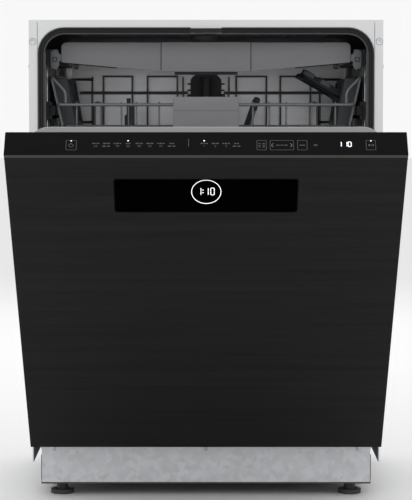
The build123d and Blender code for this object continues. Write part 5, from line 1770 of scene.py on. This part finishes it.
@dataclass
class SprayArm:
    """One spray arm's ridge, jets and centre cap."""

    fitter: Fitter
    node: str

    def build(self) -> None:
        """Build and fit the ridge, hub ring and jets on top of the arm and the seam under it."""
        low, high = lowest(self.node), highest(self.node)
        top, middle_y = high.z, (low.y + high.y) / 2
        ridge = plate([(-186, -2.5), (186, -2.5), (194, 0), (186, 2.5), (-186, 2.5), (-194, 0)],
                      FLOOR_UP.at(0, middle_y, top - 0.4), 1.8, 0, 0.7)
        hub = ring((26, 26), FLOOR_UP.at(0, middle_y, top - 0.3), 18, 3, 1.2, 0.5)
        jets = [turned([(2.2, -0.3), (5.2, -0.3), (4.6, 1.0), (2.6, 1.2), (2.2, -0.3)],
                       FLOOR_UP.at(x, middle_y + lift, top), 18)
                for x, lift in ((-185, 6), (-140, -6), (-90, 4), (70, -5), (120, 6), (170, -6))]
        self.fitter.fit(join([ridge, hub, *jets]), f"{self.node}_jets", Skin.TRAY, self.node)
        seam = ring((150, 11), UNDER.at(0, middle_y, low.z + 0.3), 8, 2, 1.3, 0.5)
        self.fitter.fit(seam, f"{self.node}_seam", Skin.TRAY, self.node)


@dataclass
class Foot:
    """One levelling foot's thread and tread."""

    fitter: Fitter
    node: str

    def build(self) -> None:
        """Build and fit the foot's details."""
        low, high = lowest(self.node), highest(self.node)
        x, y = (low.x + high.x) / 2, (low.y + high.y) / 2
        crest, root, pitch = 5.25, 4.9, 1.4
        profile = [(root, 0)]
        for turn in range(9):
            profile += [(crest, 0.6 + pitch * turn), (root, 1.3 + pitch * turn)]
        profile += [(0, 13.2)]
        thread = turned(profile, FLOOR_UP.at(x, y, high.z - 13.0), 20, 20)
        tread = turned([(14, 0), (17.6, 0), (18.6, 0.8), (14, 0.8), (14, 0)], FLOOR_UP.at(x, y, 8.0), 28)
        self.fitter.fit(join([thread, tread]), f"{self.node}_thread", Skin.STEEL, self.node)


# ---------------------------------------------------------------- studio
@dataclass
class Studio:
    """Plain pale floor, soft lights and the camera."""

    floor_tone: float = 0.84
    sky_tone: float = 0.94
    distance: float = 4.056
    height: float = 0.698
    dip: float = 3.79
    lens: float = 172.56
    sensor: float = 36.0
    aim: float = 0.45

    def build(self) -> None:
        """Build the floor, lights, surroundings and camera."""
        bpy.context.scene.view_settings.view_transform = "Standard"
        self.floor()
        self.surroundings()
        self.light("key_light", (-1.9, -3.2, 2.9), 2.6, 24.0)
        self.light("fill_light", (2.4, -2.6, 2.2), 2.4, 13.0)
        self.light("front_light", (0.0, -4.6, 1.5), 2.2, 15.0)
        self.light("back_light", (0.0, 3.2, 2.6), 2.4, 22.0)
        self.camera()

    def floor(self) -> None:
        """Lay the floor."""
        clear_selection()
        bpy.ops.mesh.primitive_plane_add(size=30, location=(0, 6, 0))
        floor = bpy.context.object
        floor.name = "studio_floor"
        recipe = Recipe("studio_floor")
        cloud = recipe.noise(recipe.coordinates, 1.5)
        tone = (self.floor_tone,) * 3
        recipe.surface(Base_Color=recipe.shades(cloud, tone, 0.985, 1.01),
                       Roughness=cloud * 0.1 + 0.75)
        floor.data.materials.append(recipe.material)

    def surroundings(self) -> None:
        """Light everything from a plain pale sky."""
        world = bpy.data.worlds.new("studio_sky")
        bpy.context.scene.world = world
        world.use_nodes = True
        background = world.node_tree.nodes["Background"]
        background.inputs["Color"].default_value = (self.sky_tone, self.sky_tone, self.sky_tone * 1.01, 1.0)
        background.inputs["Strength"].default_value = 1.0

    def light(self, name: str, place: Point, size: float, power: float) -> None:
        """Hang one soft lamp that points at the object.

        Args:
            name: Its name.
            place: Where it hangs, in metres.
            size: Its width, in metres.
            power: Its power, in watts.
        """
        clear_selection()
        bpy.ops.object.light_add(type="AREA", location=place)
        lamp = bpy.context.object
        lamp.name = name
        lamp.data.size, lamp.data.energy = size, power
        lamp.rotation_euler = (Vector((0, 0, self.aim)) - Vector(place)).to_track_quat("-Z", "Y").to_euler()

    def camera(self) -> None:
        """Set up the camera."""
        clear_selection()
        bpy.ops.object.camera_add(location=(0, -self.distance, self.height),
                                  rotation=(math.radians(90 - self.dip), 0, 0))
        camera = bpy.context.object
        camera.name = "studio_camera"
        camera.data.lens, camera.data.sensor_width = self.lens, self.sensor
        bpy.context.scene.camera = camera


def main() -> None:
    """Load the frame and build every part of the scene around it."""
    logging.basicConfig(level=logging.INFO, format="%(name)s: %(message)s")
    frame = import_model()
    fitter = Fitter(frame)
    fitter.dress_nodes()
    for assembly in (Cabinet(fitter), Tub(fitter), Door(fitter), CutleryTray(fitter), UpperBasket(fitter),
                     LowerBasket(fitter), SprayArm(fitter, "upper_spray_arm"),
                     SprayArm(fitter, "lower_spray_arm")):
        LOG.info("building %s", type(assembly).__name__)
        assembly.build()
    for node in ("foot_front_left", "foot_front_right", "foot_rear_left", "foot_rear_right"):
        Foot(fitter, node).build()
    Studio().build()


if __name__ == "__main__":
    main()
